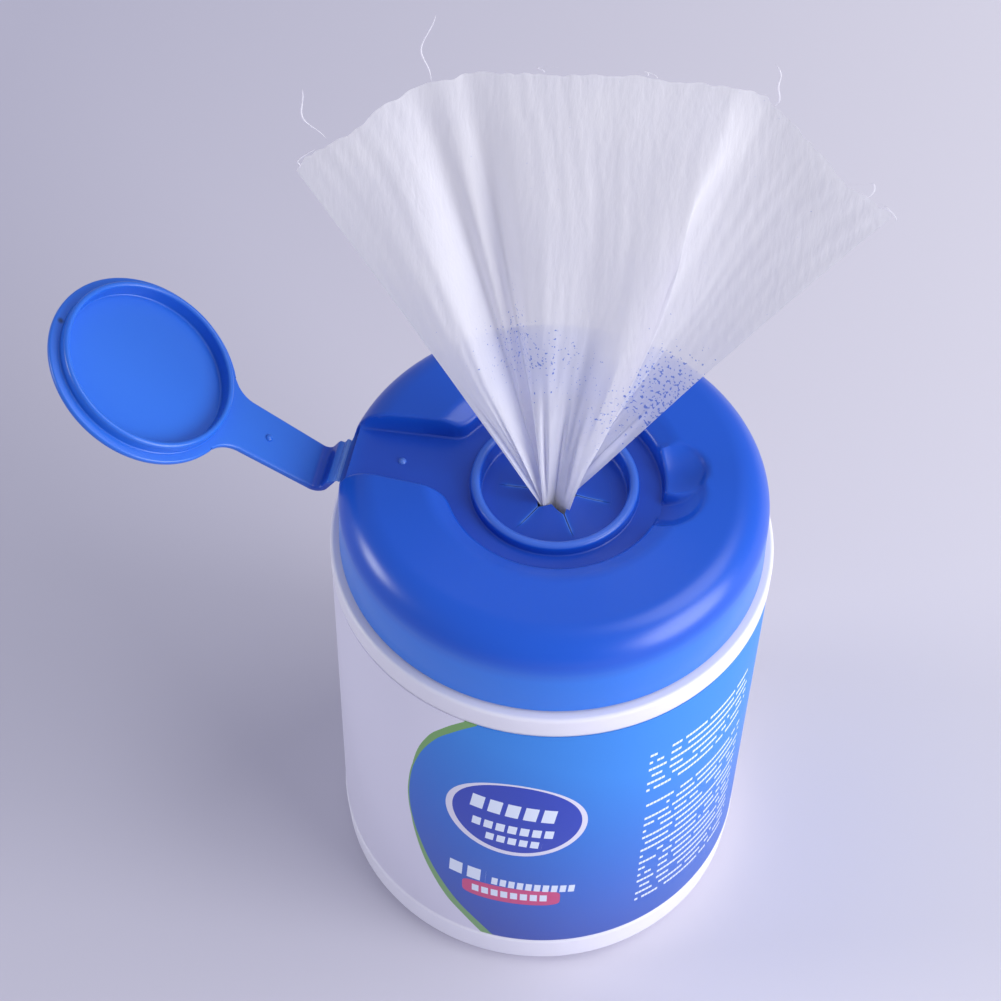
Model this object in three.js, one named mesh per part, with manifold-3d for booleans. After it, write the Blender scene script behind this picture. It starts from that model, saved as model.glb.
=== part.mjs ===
// A canister of wet wipes with its flip cap open and one wipe standing in the spout.
// Millimetres, +Z up. The origin is the centre of the tub's flat base, and the hinge of the cap is at -X.
import * as THREE from "three";
import { mergeVertices } from "three/addons/utils/BufferGeometryUtils.js";
import Module from "manifold-3d";

const wasm = await Module();
wasm.setup();

// Tub
const footROUND = 6;
const TUB_PANEL_R = 49.1; // radius under the label
const TUB_PANEL_LOW = 12.4; // lower edge of the label
const TUB_FOOT_INSET = 0.2; // the foot lies this far inside the label's radius
const TUB_LEDGE_OUT = 0.5; // and the band above the label this far outside it
const TUB_BAND_HEIGHT = 6.4; // from the label to the band's flat top
const TUB_LEDGE_ROUND = 0.9;
const TUB_WALL = 1.5;
const TUB_FLOOR = 2;
const TUB_NECK_INSET = 4.1; // of the neck, inside the label's radius
const TUB_NECK_HEIGHT = 11.1; // from the band's top to the mouth
const MOUTH_ABOVE_ROLL = 2.2;
const TUB_BEAD_HEIGHT = 0.5; // the snap bead on the neck stands out this far
const BASE_GROOVE_INSET = 12.9; // from the foot's radius to the middle of the groove in the base
const BASE_GROOVE_DEPTH = 0.8;
const BASE_GROOVE_HALF = 4;

// Label
const LABEL_THICKNESS = 0.3;
const LABEL_GAP = 0.05;

// Lid
const LID_GAP = 0.5; // between the tub's ledge and the lid's edge
const LID_SKIRT_OUT = 2.5; // from the tub's neck to the outside of the lid's lower edge
const LID_DRAFT = 0.3; // the skirt narrows by this towards the top
const LID_ABOVE_MOUTH = 11.7; // height of the crown on the axis
const LID_BEAD_GAP = 0.4; // between the beads of the lid and the tub
const LID_CROWN = 1.2; // the top falls this far from the axis to the rim
const LID_SHOULDER = 8.5; // radius of the rounded shoulder
const LID_WALL = 1.5;
const WELL_R = 23.8; // the round recess about the spout
const WELL_DEPTH = 5.9; // below the crown
const WELL_EDGE_ROUND = 1;
const GROOVE_WIDTH = 5.4; // between the spout ring and the recess's wall
const SPOUT_WALL = 2.2;
const SPOUT_HEIGHT = 2.7; // above the recess's floor
const MEMBRANE_DEPTH = 2.3; // top face of the star-cut membrane, below the recess's floor
const MEMBRANE_THICKNESS = 1;
const SLIT_COUNT = 6;
const SLIT_R = 12;
const SLIT_WIDTH = 0.8;
const CHANNEL_MOUTH_HALF = 9; // half width of the strap's channel at the recess
const CHANNEL_END_HALF = 7.5; // and at the rim
const CHANNEL_CORNER = 2.5;
const PIP_R = 0.9;
const PIP_HEIGHT = 0.6;
const CHANNEL_PIP_AT = 34; // distance of the pips from the axis
const STRAP_PIP_AT = 31.5;
const LEDGE_DEPTH = 3.2; // the hinge ledge lies this far below the recess floor
const LEDGE_WIDTH = 2; // from the hinge line inwards
const NOTCH_OUT = 2.8; // finger notch, from the recess's wall to its centre
const NOTCH_R = 9.1;
const NOTCH_FLOOR_R = 6.4;
const NOTCH_DEPTH = 3; // below the crown
const POCKET_OUT = 1.2; // the deeper half-round pocket in the notch, from the recess's wall
const POCKET_SIDE = 6.4;
const POCKET_R = 5.4;

// Flip cap, drawn closed and then opened
const OPEN_ANGLE = 147; // degrees from closed to the rest pose
const HINGE_OUT = 0.15; // the hinge line lies this far outside the skirt
const HINGE_GAP = 0.2; // from the hinge line to either piece
const CAP_GAP = 1.3; // between the closed cap and the recess's wall
const CAP_SEAT = 6.3; // underside of the brim above the hinge line, when closed
const CAP_BRIM = 1.4;
const CAP_CROWN = 0.9;
const CAP_PANEL = 1.3; // thickness of the round panel inside the ring
const CAP_RING_WALL = 1.4;
const CAP_RING_GAP = 0.4; // between the cap's ring and the spout
const CAP_RING_DEPTH = 2.8;
const STRAP_HALF_END = 6; // half width at the hinge
const STRAP_HALF = 6.7; // and at the cap
const STRAP_FILLET = 7;
const STRAP_THICKNESS = 1.4;
const STRAP_BEND = 3.2; // outer radius of the bend above the hinge
const WEB_THICKNESS = 0.45; // the living hinge
const WEB_HEIGHT = 1;

// Roll of wipes
const ROLL_SIDE_GAP = 6.1; // between the roll and the tub's wall
const ROLL_HOLE_R = 9;
const ROLL_HEIGHT = 120;
const ROLL_GAP = 0.3; // above the tub's floor
const ROLL_RINGS = 9; // turns that show on the upper face
const ROLL_RING_DEPTH = 0.7;

// The pulled wipe: a fan above the membrane, gathered in it, with a tail in the roll
const FAN_TURN = 8; // degrees about Z, from square across the X axis
const FAN_LEAN = 6; // degrees backwards
const FAN_LEFT_ANGLE = -31.6; // directions of the two corners from straight up, in degrees
const FAN_RIGHT_ANGLE = 36.8;
const FAN_FOOT_SHARE = 0.04; // the fan starts this share of the way up
const FAN_CORNER = 103; // from the membrane to the corners
const FAN_MIDDLE = 114; // and to the middle of the torn edge
const FAN_EDGE_POWER = 2.4;
const FAN_PLEATS = 7;
const FAN_PLEAT_DEPTH = 3.1; // half the depth of a pleat in the neck
const FAN_FOLDS = 3; // broad folds towards the torn edge
const FAN_FOLD_DEPTH = 2.6;
const CLOTH = 0.7;
const BUNDLE_HALF = 6; // half width and half depth of the gathered neck
const BUNDLE_DEPTH = 3.4;
const BUNDLE_GAP = 0.4; // between the neck and the membrane
const BUNDLE_TOP = 16; // the neck opens into the fan this far above the membrane
const TAIL_LENGTH = 46;
const TAIL_R = 5.2;

const ROUND_STEPS = 48; // facets round the large turned pieces
const ARC_STEPS = 3;
const REACH = 20; // cutters run this far past what they cut
const radians = THREE.MathUtils.degToRad;

// Derived places
const rollLowZ = TUB_FLOOR + ROLL_GAP;
const footR = TUB_PANEL_R - TUB_FOOT_INSET;
const bandR = TUB_PANEL_R + TUB_LEDGE_OUT;
const neckR = TUB_PANEL_R - TUB_NECK_INSET;
const mouthZ = rollLowZ + ROLL_HEIGHT + MOUTH_ABOVE_ROLL;
const bandZ = mouthZ - TUB_NECK_HEIGHT;
const panelHighZ = bandZ - TUB_BAND_HEIGHT;
const beadMiddleZ = (bandZ + mouthZ) / 2;
const grooveR = footR - BASE_GROOVE_INSET;
const rollR = TUB_PANEL_R - TUB_WALL - ROLL_SIDE_GAP;
const lidEdgeR = neckR + LID_SKIRT_OUT;
const lidTopR = lidEdgeR - LID_DRAFT;
const lidTopZ = mouthZ + LID_ABOVE_MOUTH;
const lidEdgeZ = bandZ + LID_GAP;
const wellFloorZ = lidTopZ - WELL_DEPTH;
const spoutR = WELL_R - GROOVE_WIDTH;
const spoutTopZ = wellFloorZ + SPOUT_HEIGHT;
const membraneZ = wellFloorZ - MEMBRANE_DEPTH;
const notchX = WELL_R + NOTCH_OUT;
const pocketX = WELL_R + POCKET_OUT;
const capR = WELL_R - CAP_GAP;
const hingeX = -(lidTopR + HINGE_OUT);
const ledgeZ = wellFloorZ - LEDGE_DEPTH;
const hingeZ = ledgeZ + HINGE_GAP;
const spoutInnerR = spoutR - SPOUT_WALL;
const membraneLowZ = membraneZ - MEMBRANE_THICKNESS;

function crownZ(r) {
  return lidTopZ - LID_CROWN * (r / lidTopR) ** 2;
}

// An outline through corners [x, y, radius], each rounded with an arc where it has a radius.
function rounded(corners, closed) {
  const points = [];
  corners.forEach(([x, y, radius = 0], i) => {
    const here = new THREE.Vector2(x, y);
    const before = corners[(i + corners.length - 1) % corners.length];
    const after = corners[(i + 1) % corners.length];
    const open = !closed && (i === 0 || i === corners.length - 1);
    if (!radius || open) {
      points.push(here);
      return;
    }
    const a = new THREE.Vector2(before[0], before[1]).sub(here);
    const b = new THREE.Vector2(after[0], after[1]).sub(here);
    const room = 0.49 * Math.min(a.length(), b.length());
    const half = Math.acos(THREE.MathUtils.clamp(a.dot(b) / a.length() / b.length(), -1, 1)) / 2;
    const back = Math.min(radius / Math.tan(half), room);
    const start = here.clone().addScaledVector(a.normalize(), back);
    const end = here.clone().addScaledVector(b.normalize(), back);
    const middle = a.add(b).normalize().multiplyScalar(back / Math.cos(half)).add(here);
    const first = Math.atan2(start.y - middle.y, start.x - middle.x);
    let turn = Math.atan2(end.y - middle.y, end.x - middle.x) - first;
    if (turn > Math.PI) turn -= 2 * Math.PI;
    if (turn < -Math.PI) turn += 2 * Math.PI;
    const reach = start.distanceTo(middle);
    for (let k = 0; k <= ARC_STEPS; k++) {
      const angle = first + (turn * k) / ARC_STEPS;
      points.push(new THREE.Vector2(Math.cos(angle), Math.sin(angle)).multiplyScalar(reach).add(middle));
    }
  });
  return points;
}

// A profile of [radius, height] points turned about Z. It starts and ends on the axis, going outwards first.
function turned(profile, steps = ROUND_STEPS) {
  const points = profile.map((p) => (p.isVector2 ? p : new THREE.Vector2(p[0], p[1])));
  return new THREE.LatheGeometry(points, steps).rotateX(Math.PI / 2).rotateZ(Math.PI / steps);
}

// A plan outline of Vector2 points raised from one height to another.
function raised(outline, low, high) {
  const shape = new THREE.Shape(outline);
  const geometry = new THREE.ExtrudeGeometry(shape, { depth: high - low, bevelEnabled: false });
  return geometry.translate(0, 0, low);
}

function circle(x, y, r, steps) {
  return Array.from({ length: steps }, (_, i) => {
    const angle = (2 * Math.PI * i) / steps;
    return new THREE.Vector2(x + r * Math.cos(angle), y + r * Math.sin(angle));
  });
}

function solid(geometry) {
  const bare = new THREE.BufferGeometry();
  bare.setAttribute("position", geometry.getAttribute("position"));
  bare.setIndex(geometry.getIndex());
  const merged = mergeVertices(bare, 1e-4);
  return new wasm.Manifold(
    new wasm.Mesh({
      numProp: 3,
      vertProperties: merged.attributes.position.array,
      triVerts: new Uint32Array(merged.index.array),
    }),
  );
}

function joined(solids) {
  return solids.reduce((sum, next) => sum.add(next));
}

// Folds that touch can close a small pocket between them. Only the outer skin is kept.
function withoutPockets(made) {
  return made.decompose().reduce((largest, next) => (next.volume() > largest.volume() ? next : largest));
}

function piece(name, made, material) {
  const mesh = made.getMesh();
  const geometry = new THREE.BufferGeometry();
  geometry.setAttribute("position", new THREE.BufferAttribute(mesh.vertProperties, 3));
  geometry.setIndex(new THREE.BufferAttribute(mesh.triVerts, 1));
  geometry.computeVertexNormals();
  const result = new THREE.Mesh(geometry, material);
  result.name = name;
  return result;
}

function plastic(color, roughness) {
  return new THREE.MeshStandardMaterial({ color, roughness, metalness: 0 });
}

// The blow-moulded tub: an outer shape less its hollow, so the mouth is open.
function makeTub() {
  const panelInner = TUB_PANEL_R - TUB_WALL;
  const mouthInner = neckR - TUB_WALL;
  const bead = neckR + TUB_BEAD_HEIGHT;
  const outside = rounded([
    [0, 0],
    [grooveR - BASE_GROOVE_HALF, 0],
    [grooveR, BASE_GROOVE_DEPTH, BASE_GROOVE_HALF],
    [grooveR + BASE_GROOVE_HALF, 0],
    [footR, 0, footROUND],
    [bandR, TUB_PANEL_LOW - TUB_LEDGE_ROUND, TUB_LEDGE_ROUND],
    [TUB_PANEL_R, TUB_PANEL_LOW],
    [TUB_PANEL_R, panelHighZ],
    [bandR, panelHighZ + TUB_LEDGE_ROUND, TUB_LEDGE_ROUND],
    [bandR, bandZ, TUB_LEDGE_ROUND],
    [neckR, bandZ],
    [neckR, beadMiddleZ - 2 * TUB_BEAD_HEIGHT],
    [bead, beadMiddleZ],
    [neckR, beadMiddleZ + 2 * TUB_BEAD_HEIGHT],
    [neckR, mouthZ],
    [0, mouthZ],
  ]);
  const hollow = rounded([
    [0, TUB_FLOOR],
    [panelInner, TUB_FLOOR, footROUND - TUB_WALL],
    [panelInner, bandZ - TUB_WALL - (panelInner - mouthInner) / 2],
    [mouthInner, bandZ - TUB_WALL / 2],
    [mouthInner, mouthZ + REACH],
    [0, mouthZ + REACH],
  ]);
  const made = solid(turned(outside)).subtract(solid(turned(hollow)));
  return piece("tub", made, plastic("#e9e9f4", 0.45));
}

// The printed wrap in the tub's label panel.
function makeLabel() {
  const inner = TUB_PANEL_R + LABEL_GAP;
  const outer = inner + LABEL_THICKNESS;
  const low = TUB_PANEL_LOW + LABEL_THICKNESS;
  const high = panelHighZ - LABEL_THICKNESS;
  const outside = solid(turned([[0, low], [outer, low], [outer, high], [0, high]]));
  const inside = solid(turned([[0, low - REACH], [inner, low - REACH], [inner, high + REACH], [0, high + REACH]]));
  return piece("label", outside.subtract(inside), plastic("#2f6fd6", 0.4));
}

// The lid's outer skin without its recesses, moved inwards by a wall for the hollow under it.
function domeProfile(inset, low) {
  const sloped = [0, 0.35, 0.6].map((share) => [share * lidTopR, crownZ(share * lidTopR) - inset]);
  return rounded([
    [0, low],
    [lidEdgeR - inset, low],
    [lidTopR - inset, crownZ(lidTopR) - inset, LID_SHOULDER - inset],
    ...sloped.reverse(),
  ]);
}

// Everything that is taken out of the dome. grown is 0 for the recesses themselves,
// and a wall for the space that the hollow leaves under them.
function recesses(grown) {
  const above = lidTopZ + REACH;
  const floorZ = wellFloorZ - grown;
  const wellR = WELL_R + grown;
  const rimZ = crownZ(WELL_R);
  const spoutTop = SPOUT_WALL / 2;
  const well = grown
    ? [
        [0, membraneLowZ],
        [spoutR + LID_WALL, membraneLowZ],
        [spoutR + LID_WALL, floorZ],
        [wellR, floorZ],
        [wellR, above],
        [0, above],
      ]
    : rounded([
        [0, membraneZ],
        [spoutInnerR, membraneZ],
        [spoutInnerR, spoutTopZ, spoutTop],
        [spoutR, spoutTopZ, spoutTop],
        [spoutR, floorZ],
        [wellR, floorZ],
        [wellR, rimZ - WELL_EDGE_ROUND],
        [wellR + 0.3 * WELL_EDGE_ROUND, rimZ - 0.3 * WELL_EDGE_ROUND],
        [wellR + WELL_EDGE_ROUND, rimZ],
        [wellR + WELL_EDGE_ROUND, above],
        [0, above],
      ]);
  const keptRing = solid(turned([[0, 0], [spoutR + LID_WALL, 0], [spoutR + LID_WALL, above], [0, above]]));

  // The channel widens into the well with rounded corners.
  const corner = CHANNEL_CORNER;
  const cornerY = CHANNEL_MOUTH_HALF + corner;
  const cornerX = -Math.sqrt(Math.max((WELL_R + corner) ** 2 - cornerY ** 2, 1));
  const touch = new THREE.Vector2(cornerX, cornerY).multiplyScalar(WELL_R / (WELL_R + corner));
  const endX = hingeX - REACH;
  const side = [
    new THREE.Vector2(endX, CHANNEL_END_HALF + grown),
    new THREE.Vector2(cornerX, CHANNEL_MOUTH_HALF + grown),
  ];
  const last = Math.atan2(touch.y - cornerY, touch.x - cornerX);
  for (let k = 1; k <= ARC_STEPS; k++) {
    const angle = -Math.PI / 2 + ((last + Math.PI / 2) * k) / ARC_STEPS;
    const radius = corner - Math.min(grown, 0.9 * corner);
    side.push(new THREE.Vector2(cornerX + radius * Math.cos(angle), cornerY + radius * Math.sin(angle)));
  }
  side.push(new THREE.Vector2(0, side[side.length - 1].y));
  const plan = [...side, ...side.map((p) => new THREE.Vector2(p.x, -p.y)).reverse()].reverse();
  const channel = solid(raised(plan, floorZ, above)).subtract(keptRing);
  const ledgeHalf = CHANNEL_END_HALF + grown;
  const inward = hingeX + LEDGE_WIDTH + grown;
  const ledge = solid(
    raised(
      [[endX, -ledgeHalf], [inward, -ledgeHalf], [inward, ledgeHalf], [endX, ledgeHalf]].map(([x, y]) => new THREE.Vector2(x, y)),
      ledgeZ - grown,
      above,
    ),
  );

  // The finger notch is a round scoop with a deeper pocket on one side of it.
  const notchZ = lidTopZ - NOTCH_DEPTH - grown;
  const slope = (NOTCH_R - NOTCH_FLOOR_R) / NOTCH_DEPTH;
  const scoop = turned(
    [
      [0, notchZ],
      [NOTCH_FLOOR_R + grown, notchZ],
      [NOTCH_FLOOR_R + grown + slope * (above - notchZ), above],
      [0, above],
    ],
    40,
  ).translate(notchX, 0, 0);
  const pocket = raised(circle(pocketX, POCKET_SIDE, POCKET_R + grown, 28), floorZ, above);
  const finger = joined([solid(scoop), solid(pocket)]).subtract(keptRing);
  return joined([solid(turned(well)), channel, ledge, finger]);
}

function makeLid() {
  const dome = solid(turned(domeProfile(0, lidEdgeZ)));
  const under = solid(turned(domeProfile(LID_WALL, lidEdgeZ - REACH)));
  const beadZ = beadMiddleZ - 3 * TUB_BEAD_HEIGHT;
  const beadR = neckR + TUB_BEAD_HEIGHT + LID_BEAD_GAP;
  const beadOut = lidEdgeR - LID_WALL / 2;
  const bead = solid(
    turned([
      [beadOut, beadZ - 2 * TUB_BEAD_HEIGHT],
      [beadOut, beadZ + 2 * TUB_BEAD_HEIGHT],
      [beadR, beadZ],
      [beadOut, beadZ - 2 * TUB_BEAD_HEIGHT],
    ]),
  );
  const shell = dome.subtract(recesses(0)).subtract(under.subtract(recesses(LID_WALL)));

  // The star: slits from the middle, and the hole that the gathered wipe holds open.
  const blade = new THREE.BoxGeometry(2 * SLIT_R, SLIT_WIDTH, 3 * MEMBRANE_THICKNESS);
  const slits = Array.from({ length: SLIT_COUNT / 2 }, (_, i) =>
    solid(
      blade
        .clone()
        .rotateZ((2 * Math.PI * i) / SLIT_COUNT)
        .translate(0, 0, membraneZ - MEMBRANE_THICKNESS / 2),
    ),
  );
  const hole = new THREE.CylinderGeometry(1, 1, 3 * MEMBRANE_THICKNESS, 32)
    .rotateX(Math.PI / 2)
    .scale(BUNDLE_HALF + BUNDLE_GAP, BUNDLE_DEPTH + BUNDLE_GAP, 1)
    .rotateZ(radians(FAN_TURN))
    .translate(0, 0, membraneZ - MEMBRANE_THICKNESS / 2);
  const star = joined([...slits, solid(hole)]);

  const pip = new THREE.CylinderGeometry(0.7 * PIP_R, PIP_R, 2 * PIP_HEIGHT, 12)
    .rotateX(Math.PI / 2)
    .translate(-CHANNEL_PIP_AT, 0, wellFloorZ);
  const made = joined([shell.subtract(star), bead, solid(pip)]);
  return piece("lid", made, plastic("#2b64d8", 0.28));
}

// The cap is drawn closed, with the hinge line as its Y axis and the spout at +X.
function makeFlipCap() {
  const centre = -hingeX;
  const ringIn = spoutR + CAP_RING_GAP;
  const ringOut = ringIn + CAP_RING_WALL;
  const tip = CAP_SEAT - CAP_RING_DEPTH;
  const top = CAP_SEAT + CAP_BRIM;
  const panel = top + CAP_CROWN - CAP_PANEL;
  const disc = turned(
    rounded([
      [0, panel],
      [ringIn, panel],
      [ringIn, tip, CAP_RING_WALL / 2],
      [ringOut, tip, CAP_RING_WALL / 2],
      [ringOut, CAP_SEAT],
      [capR, CAP_SEAT, CAP_BRIM / 3],
      [capR, top, CAP_BRIM / 2],
      [0.6 * capR, top + 0.7 * CAP_CROWN],
      [0, top + CAP_CROWN],
    ]),
    48,
  ).translate(centre, 0, 0);

  // Side view of the strap: a thin web, a short leg up from the hinge, a bend, and a flat arm.
  const under = top - STRAP_THICKNESS;
  const far = centre - ringOut;
  const chamfer = STRAP_THICKNESS - WEB_THICKNESS;
  const sideView = rounded(
    [
      [0, HINGE_GAP],
      [WEB_THICKNESS, HINGE_GAP],
      [WEB_THICKNESS, HINGE_GAP + WEB_HEIGHT],
      [STRAP_THICKNESS, HINGE_GAP + WEB_HEIGHT + chamfer],
      [STRAP_THICKNESS, under, Math.max(STRAP_BEND - STRAP_THICKNESS, 0.3)],
      [far, under],
      [far, top],
      [0, top, STRAP_BEND],
    ],
    true,
  );
  const width = 3 * capR;
  const side = new THREE.ExtrudeGeometry(new THREE.Shape(sideView), { depth: width, bevelEnabled: false })
    .rotateX(Math.PI / 2)
    .translate(0, width / 2, 0);

  // Plan of the strap, which flares into the disc with a fillet on each side.
  const filletY = STRAP_HALF + STRAP_FILLET;
  const filletX = centre - Math.sqrt(Math.max((capR + STRAP_FILLET) ** 2 - filletY ** 2, 1));
  const last = Math.atan2(-filletY, centre - filletX);
  const edge = [new THREE.Vector2(-STRAP_BEND, -STRAP_HALF_END), new THREE.Vector2(STRAP_BEND, -STRAP_HALF_END)];
  for (let k = 0; k <= ARC_STEPS; k++) {
    const angle = Math.PI / 2 + ((-last - Math.PI / 2) * k) / ARC_STEPS;
    edge.push(
      new THREE.Vector2(
        filletX + STRAP_FILLET * Math.cos(angle),
        -filletY + STRAP_FILLET * Math.sin(angle),
      ),
    );
  }
  edge.push(new THREE.Vector2(centre, edge[edge.length - 1].y));
  const plan = [...edge, ...edge.map((p) => new THREE.Vector2(p.x, -p.y)).reverse()];
  const strap = solid(side).intersect(solid(raised(plan, -REACH, REACH)));
  const pip = new THREE.CylinderGeometry(PIP_R, 0.7 * PIP_R, 2 * PIP_HEIGHT, 12)
    .rotateX(Math.PI / 2)
    .translate(centre - STRAP_PIP_AT, 0, under);
  const made = joined([solid(disc), strap, solid(pip)]);
  const mesh = piece("flip_cap", made, plastic("#3f80ea", 0.3));
  const opened = new THREE.Group();
  opened.position.set(hingeX, 0, hingeZ);
  opened.rotation.y = -radians(OPEN_ANGLE);
  opened.add(mesh);
  return opened;
}

// The roll, with the edges of its outer turns as rings on the upper face.
function makeRoll() {
  const top = rollLowZ + ROLL_HEIGHT;
  const step = (rollR - ROLL_HOLE_R) / ROLL_RINGS;
  const rings = [];
  for (let i = 0; i < ROLL_RINGS; i++) {
    const outer = rollR - i * step;
    rings.push([outer, top], [outer - 0.7 * step, top - ROLL_RING_DEPTH]);
  }
  const profile = [
    [ROLL_HOLE_R, rollLowZ],
    [rollR, rollLowZ],
    ...rings,
    [ROLL_HOLE_R, top],
    [ROLL_HOLE_R, rollLowZ],
  ];
  return piece("wipe_roll", solid(turned(profile, 40)), plastic("#f4f5fb", 0.9));
}

// A closed skin through rings of points, each ring given as a list of Vector3.
function lofted(rings) {
  const count = rings[0].length;
  const positions = [];
  const index = [];
  rings.forEach((ring) => ring.forEach((p) => positions.push(p.x, p.y, p.z)));
  for (let j = 0; j + 1 < rings.length; j++) {
    for (let i = 0; i < count; i++) {
      const next = (i + 1) % count;
      const a = j * count + i;
      const b = j * count + next;
      index.push(a, b, b + count, a, b + count, a + count);
    }
  }
  [rings[0], rings[rings.length - 1]].forEach((ring, end) => {
    const middle = positions.length / 3;
    const centre = ring.reduce((sum, p) => sum.add(p), new THREE.Vector3()).divideScalar(count);
    positions.push(centre.x, centre.y, centre.z);
    const first = end ? (rings.length - 1) * count : 0;
    for (let i = 0; i < count; i++) {
      const next = (i + 1) % count;
      if (end) index.push(middle, first + i, first + next);
      else index.push(middle, first + next, first + i);
    }
  });
  const geometry = new THREE.BufferGeometry();
  geometry.setAttribute("position", new THREE.Float32BufferAttribute(positions, 3));
  geometry.setIndex(index);
  return geometry;
}

// A point of the fan: u runs across the cloth, t up from the membrane to the torn edge.
// Each thread is a straight line from the neck to the edge. Pleats are deepest in the neck,
// and a few broad folds grow towards the edge.
function fanPoint(u, t) {
  const direction = radians(THREE.MathUtils.lerp(FAN_LEFT_ANGLE, FAN_RIGHT_ANGLE, u));
  const bulge = 1 - Math.abs(2 * u - 1) ** FAN_EDGE_POWER;
  const length = THREE.MathUtils.lerp(FAN_CORNER, FAN_MIDDLE, bulge);
  const neck = (2 * u - 1) * (BUNDLE_HALF - CLOTH);
  const across = THREE.MathUtils.lerp(neck, length * Math.sin(direction), t);
  const up = t * length * Math.cos(direction);
  const pleat = FAN_PLEAT_DEPTH * (1 - t) ** 1.5 * Math.cos(2 * Math.PI * FAN_PLEATS * u);
  const fold = FAN_FOLD_DEPTH * Math.sin(Math.PI * t * 0.8) * Math.cos(2 * Math.PI * FAN_FOLDS * u + 1);
  return new THREE.Vector3(across, pleat + fold, up);
}

function makeWipe() {
  const columns = 6 * FAN_PLEATS;
  const rows = 7;
  const front = [];
  for (let j = 0; j <= rows; j++) {
    const t = FAN_FOOT_SHARE + ((1 - FAN_FOOT_SHARE) * j) / rows;
    const ring = [];
    for (let i = 0; i <= columns; i++) ring.push(fanPoint(i / columns, t).add(new THREE.Vector3(0, CLOTH / 2, 0)));
    for (let i = columns; i >= 0; i--) ring.push(fanPoint(i / columns, t).sub(new THREE.Vector3(0, CLOTH / 2, 0)));
    front.push(ring);
  }
  const fan = flatLoft(front);
  fan
    .rotateX(-radians(FAN_LEAN))
    .rotateZ(radians(FAN_TURN))
    .translate(0, 0, membraneZ);

  const levels = [
    [-TAIL_LENGTH, TAIL_R, TAIL_R, 0.3],
    [-TAIL_LENGTH / 2, TAIL_R, TAIL_R, 0.25],
    [-2 * MEMBRANE_THICKNESS, BUNDLE_HALF, BUNDLE_DEPTH, 0],
    [MEMBRANE_THICKNESS, BUNDLE_HALF, BUNDLE_DEPTH, 0],
    [BUNDLE_TOP / 2, BUNDLE_HALF, 0.7 * BUNDLE_DEPTH, 0.1],
    [BUNDLE_TOP, BUNDLE_HALF, 0.2 * BUNDLE_DEPTH, 0.1],
  ];
  const lobes = 2 * FAN_PLEATS;
  const rings = levels.map(([z, a, b, depth]) =>
    Array.from({ length: 4 * lobes }, (_, i) => {
      const angle = (2 * Math.PI * i) / (4 * lobes);
      const share = 1 - depth * (0.5 + 0.5 * Math.cos(lobes * angle));
      return new THREE.Vector3(a * share * Math.cos(angle), b * share * Math.sin(angle), z);
    }),
  );
  const bundle = lofted(rings).rotateZ(radians(FAN_TURN)).translate(0, 0, membraneZ);
  return piece("wipe", withoutPockets(joined([solid(bundle), solid(fan)])), plastic("#f6f7fc", 0.85));
}

// A closed skin through long thin rings, closed at both ends with a strip between the two sides.
function flatLoft(rings) {
  const count = rings[0].length;
  const half = count / 2;
  const positions = [];
  const index = [];
  rings.forEach((ring) => ring.forEach((p) => positions.push(p.x, p.y, p.z)));
  for (let j = 0; j + 1 < rings.length; j++) {
    for (let i = 0; i < count; i++) {
      const next = (i + 1) % count;
      const a = j * count + i;
      const b = j * count + next;
      index.push(a, b + count, b, a, a + count, b + count);
    }
  }
  const last = (rings.length - 1) * count;
  for (let i = 0; i + 1 < half; i++) {
    const low = [i, i + 1, count - 2 - i, count - 1 - i];
    const high = low.map((k) => k + last);
    index.push(low[0], low[1], low[2], low[0], low[2], low[3]);
    index.push(high[0], high[2], high[1], high[0], high[3], high[2]);
  }
  const geometry = new THREE.BufferGeometry();
  geometry.setAttribute("position", new THREE.Float32BufferAttribute(positions, 3));
  geometry.setIndex(index);
  return geometry;
}

const canister = new THREE.Group();
canister.add(makeTub(), makeLabel(), makeLid(), makeFlipCap(), makeRoll(), makeWipe());

export default canister;
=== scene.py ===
import math

import bpy
import numpy as np
from mathutils import Matrix


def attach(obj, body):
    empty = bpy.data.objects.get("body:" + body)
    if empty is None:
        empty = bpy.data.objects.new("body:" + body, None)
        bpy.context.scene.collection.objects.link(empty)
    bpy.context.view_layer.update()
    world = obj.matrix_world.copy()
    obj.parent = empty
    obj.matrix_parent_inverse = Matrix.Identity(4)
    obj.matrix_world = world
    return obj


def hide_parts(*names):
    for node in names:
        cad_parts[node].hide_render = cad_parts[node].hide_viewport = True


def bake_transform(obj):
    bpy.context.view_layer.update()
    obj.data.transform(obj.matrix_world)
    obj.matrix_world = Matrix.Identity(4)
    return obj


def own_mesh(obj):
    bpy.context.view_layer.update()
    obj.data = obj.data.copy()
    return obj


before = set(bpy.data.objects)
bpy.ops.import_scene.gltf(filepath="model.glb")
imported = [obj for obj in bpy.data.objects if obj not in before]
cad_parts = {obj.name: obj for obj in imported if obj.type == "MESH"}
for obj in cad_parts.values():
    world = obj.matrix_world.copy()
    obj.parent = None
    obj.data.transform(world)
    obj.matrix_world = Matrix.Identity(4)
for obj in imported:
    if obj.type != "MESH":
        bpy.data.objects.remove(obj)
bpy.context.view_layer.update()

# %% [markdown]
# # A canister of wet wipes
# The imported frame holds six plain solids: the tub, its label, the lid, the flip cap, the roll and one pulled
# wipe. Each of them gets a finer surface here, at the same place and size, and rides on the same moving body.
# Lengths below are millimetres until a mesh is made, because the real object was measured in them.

# %% [markdown]
# ## Camera
# The photo was matched with one camera: 87 mm lens, looking down about 53 degrees onto the open lid.
# Its place and its three axes come from fitting circles of the lid and tub, so they are written as numbers.

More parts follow.
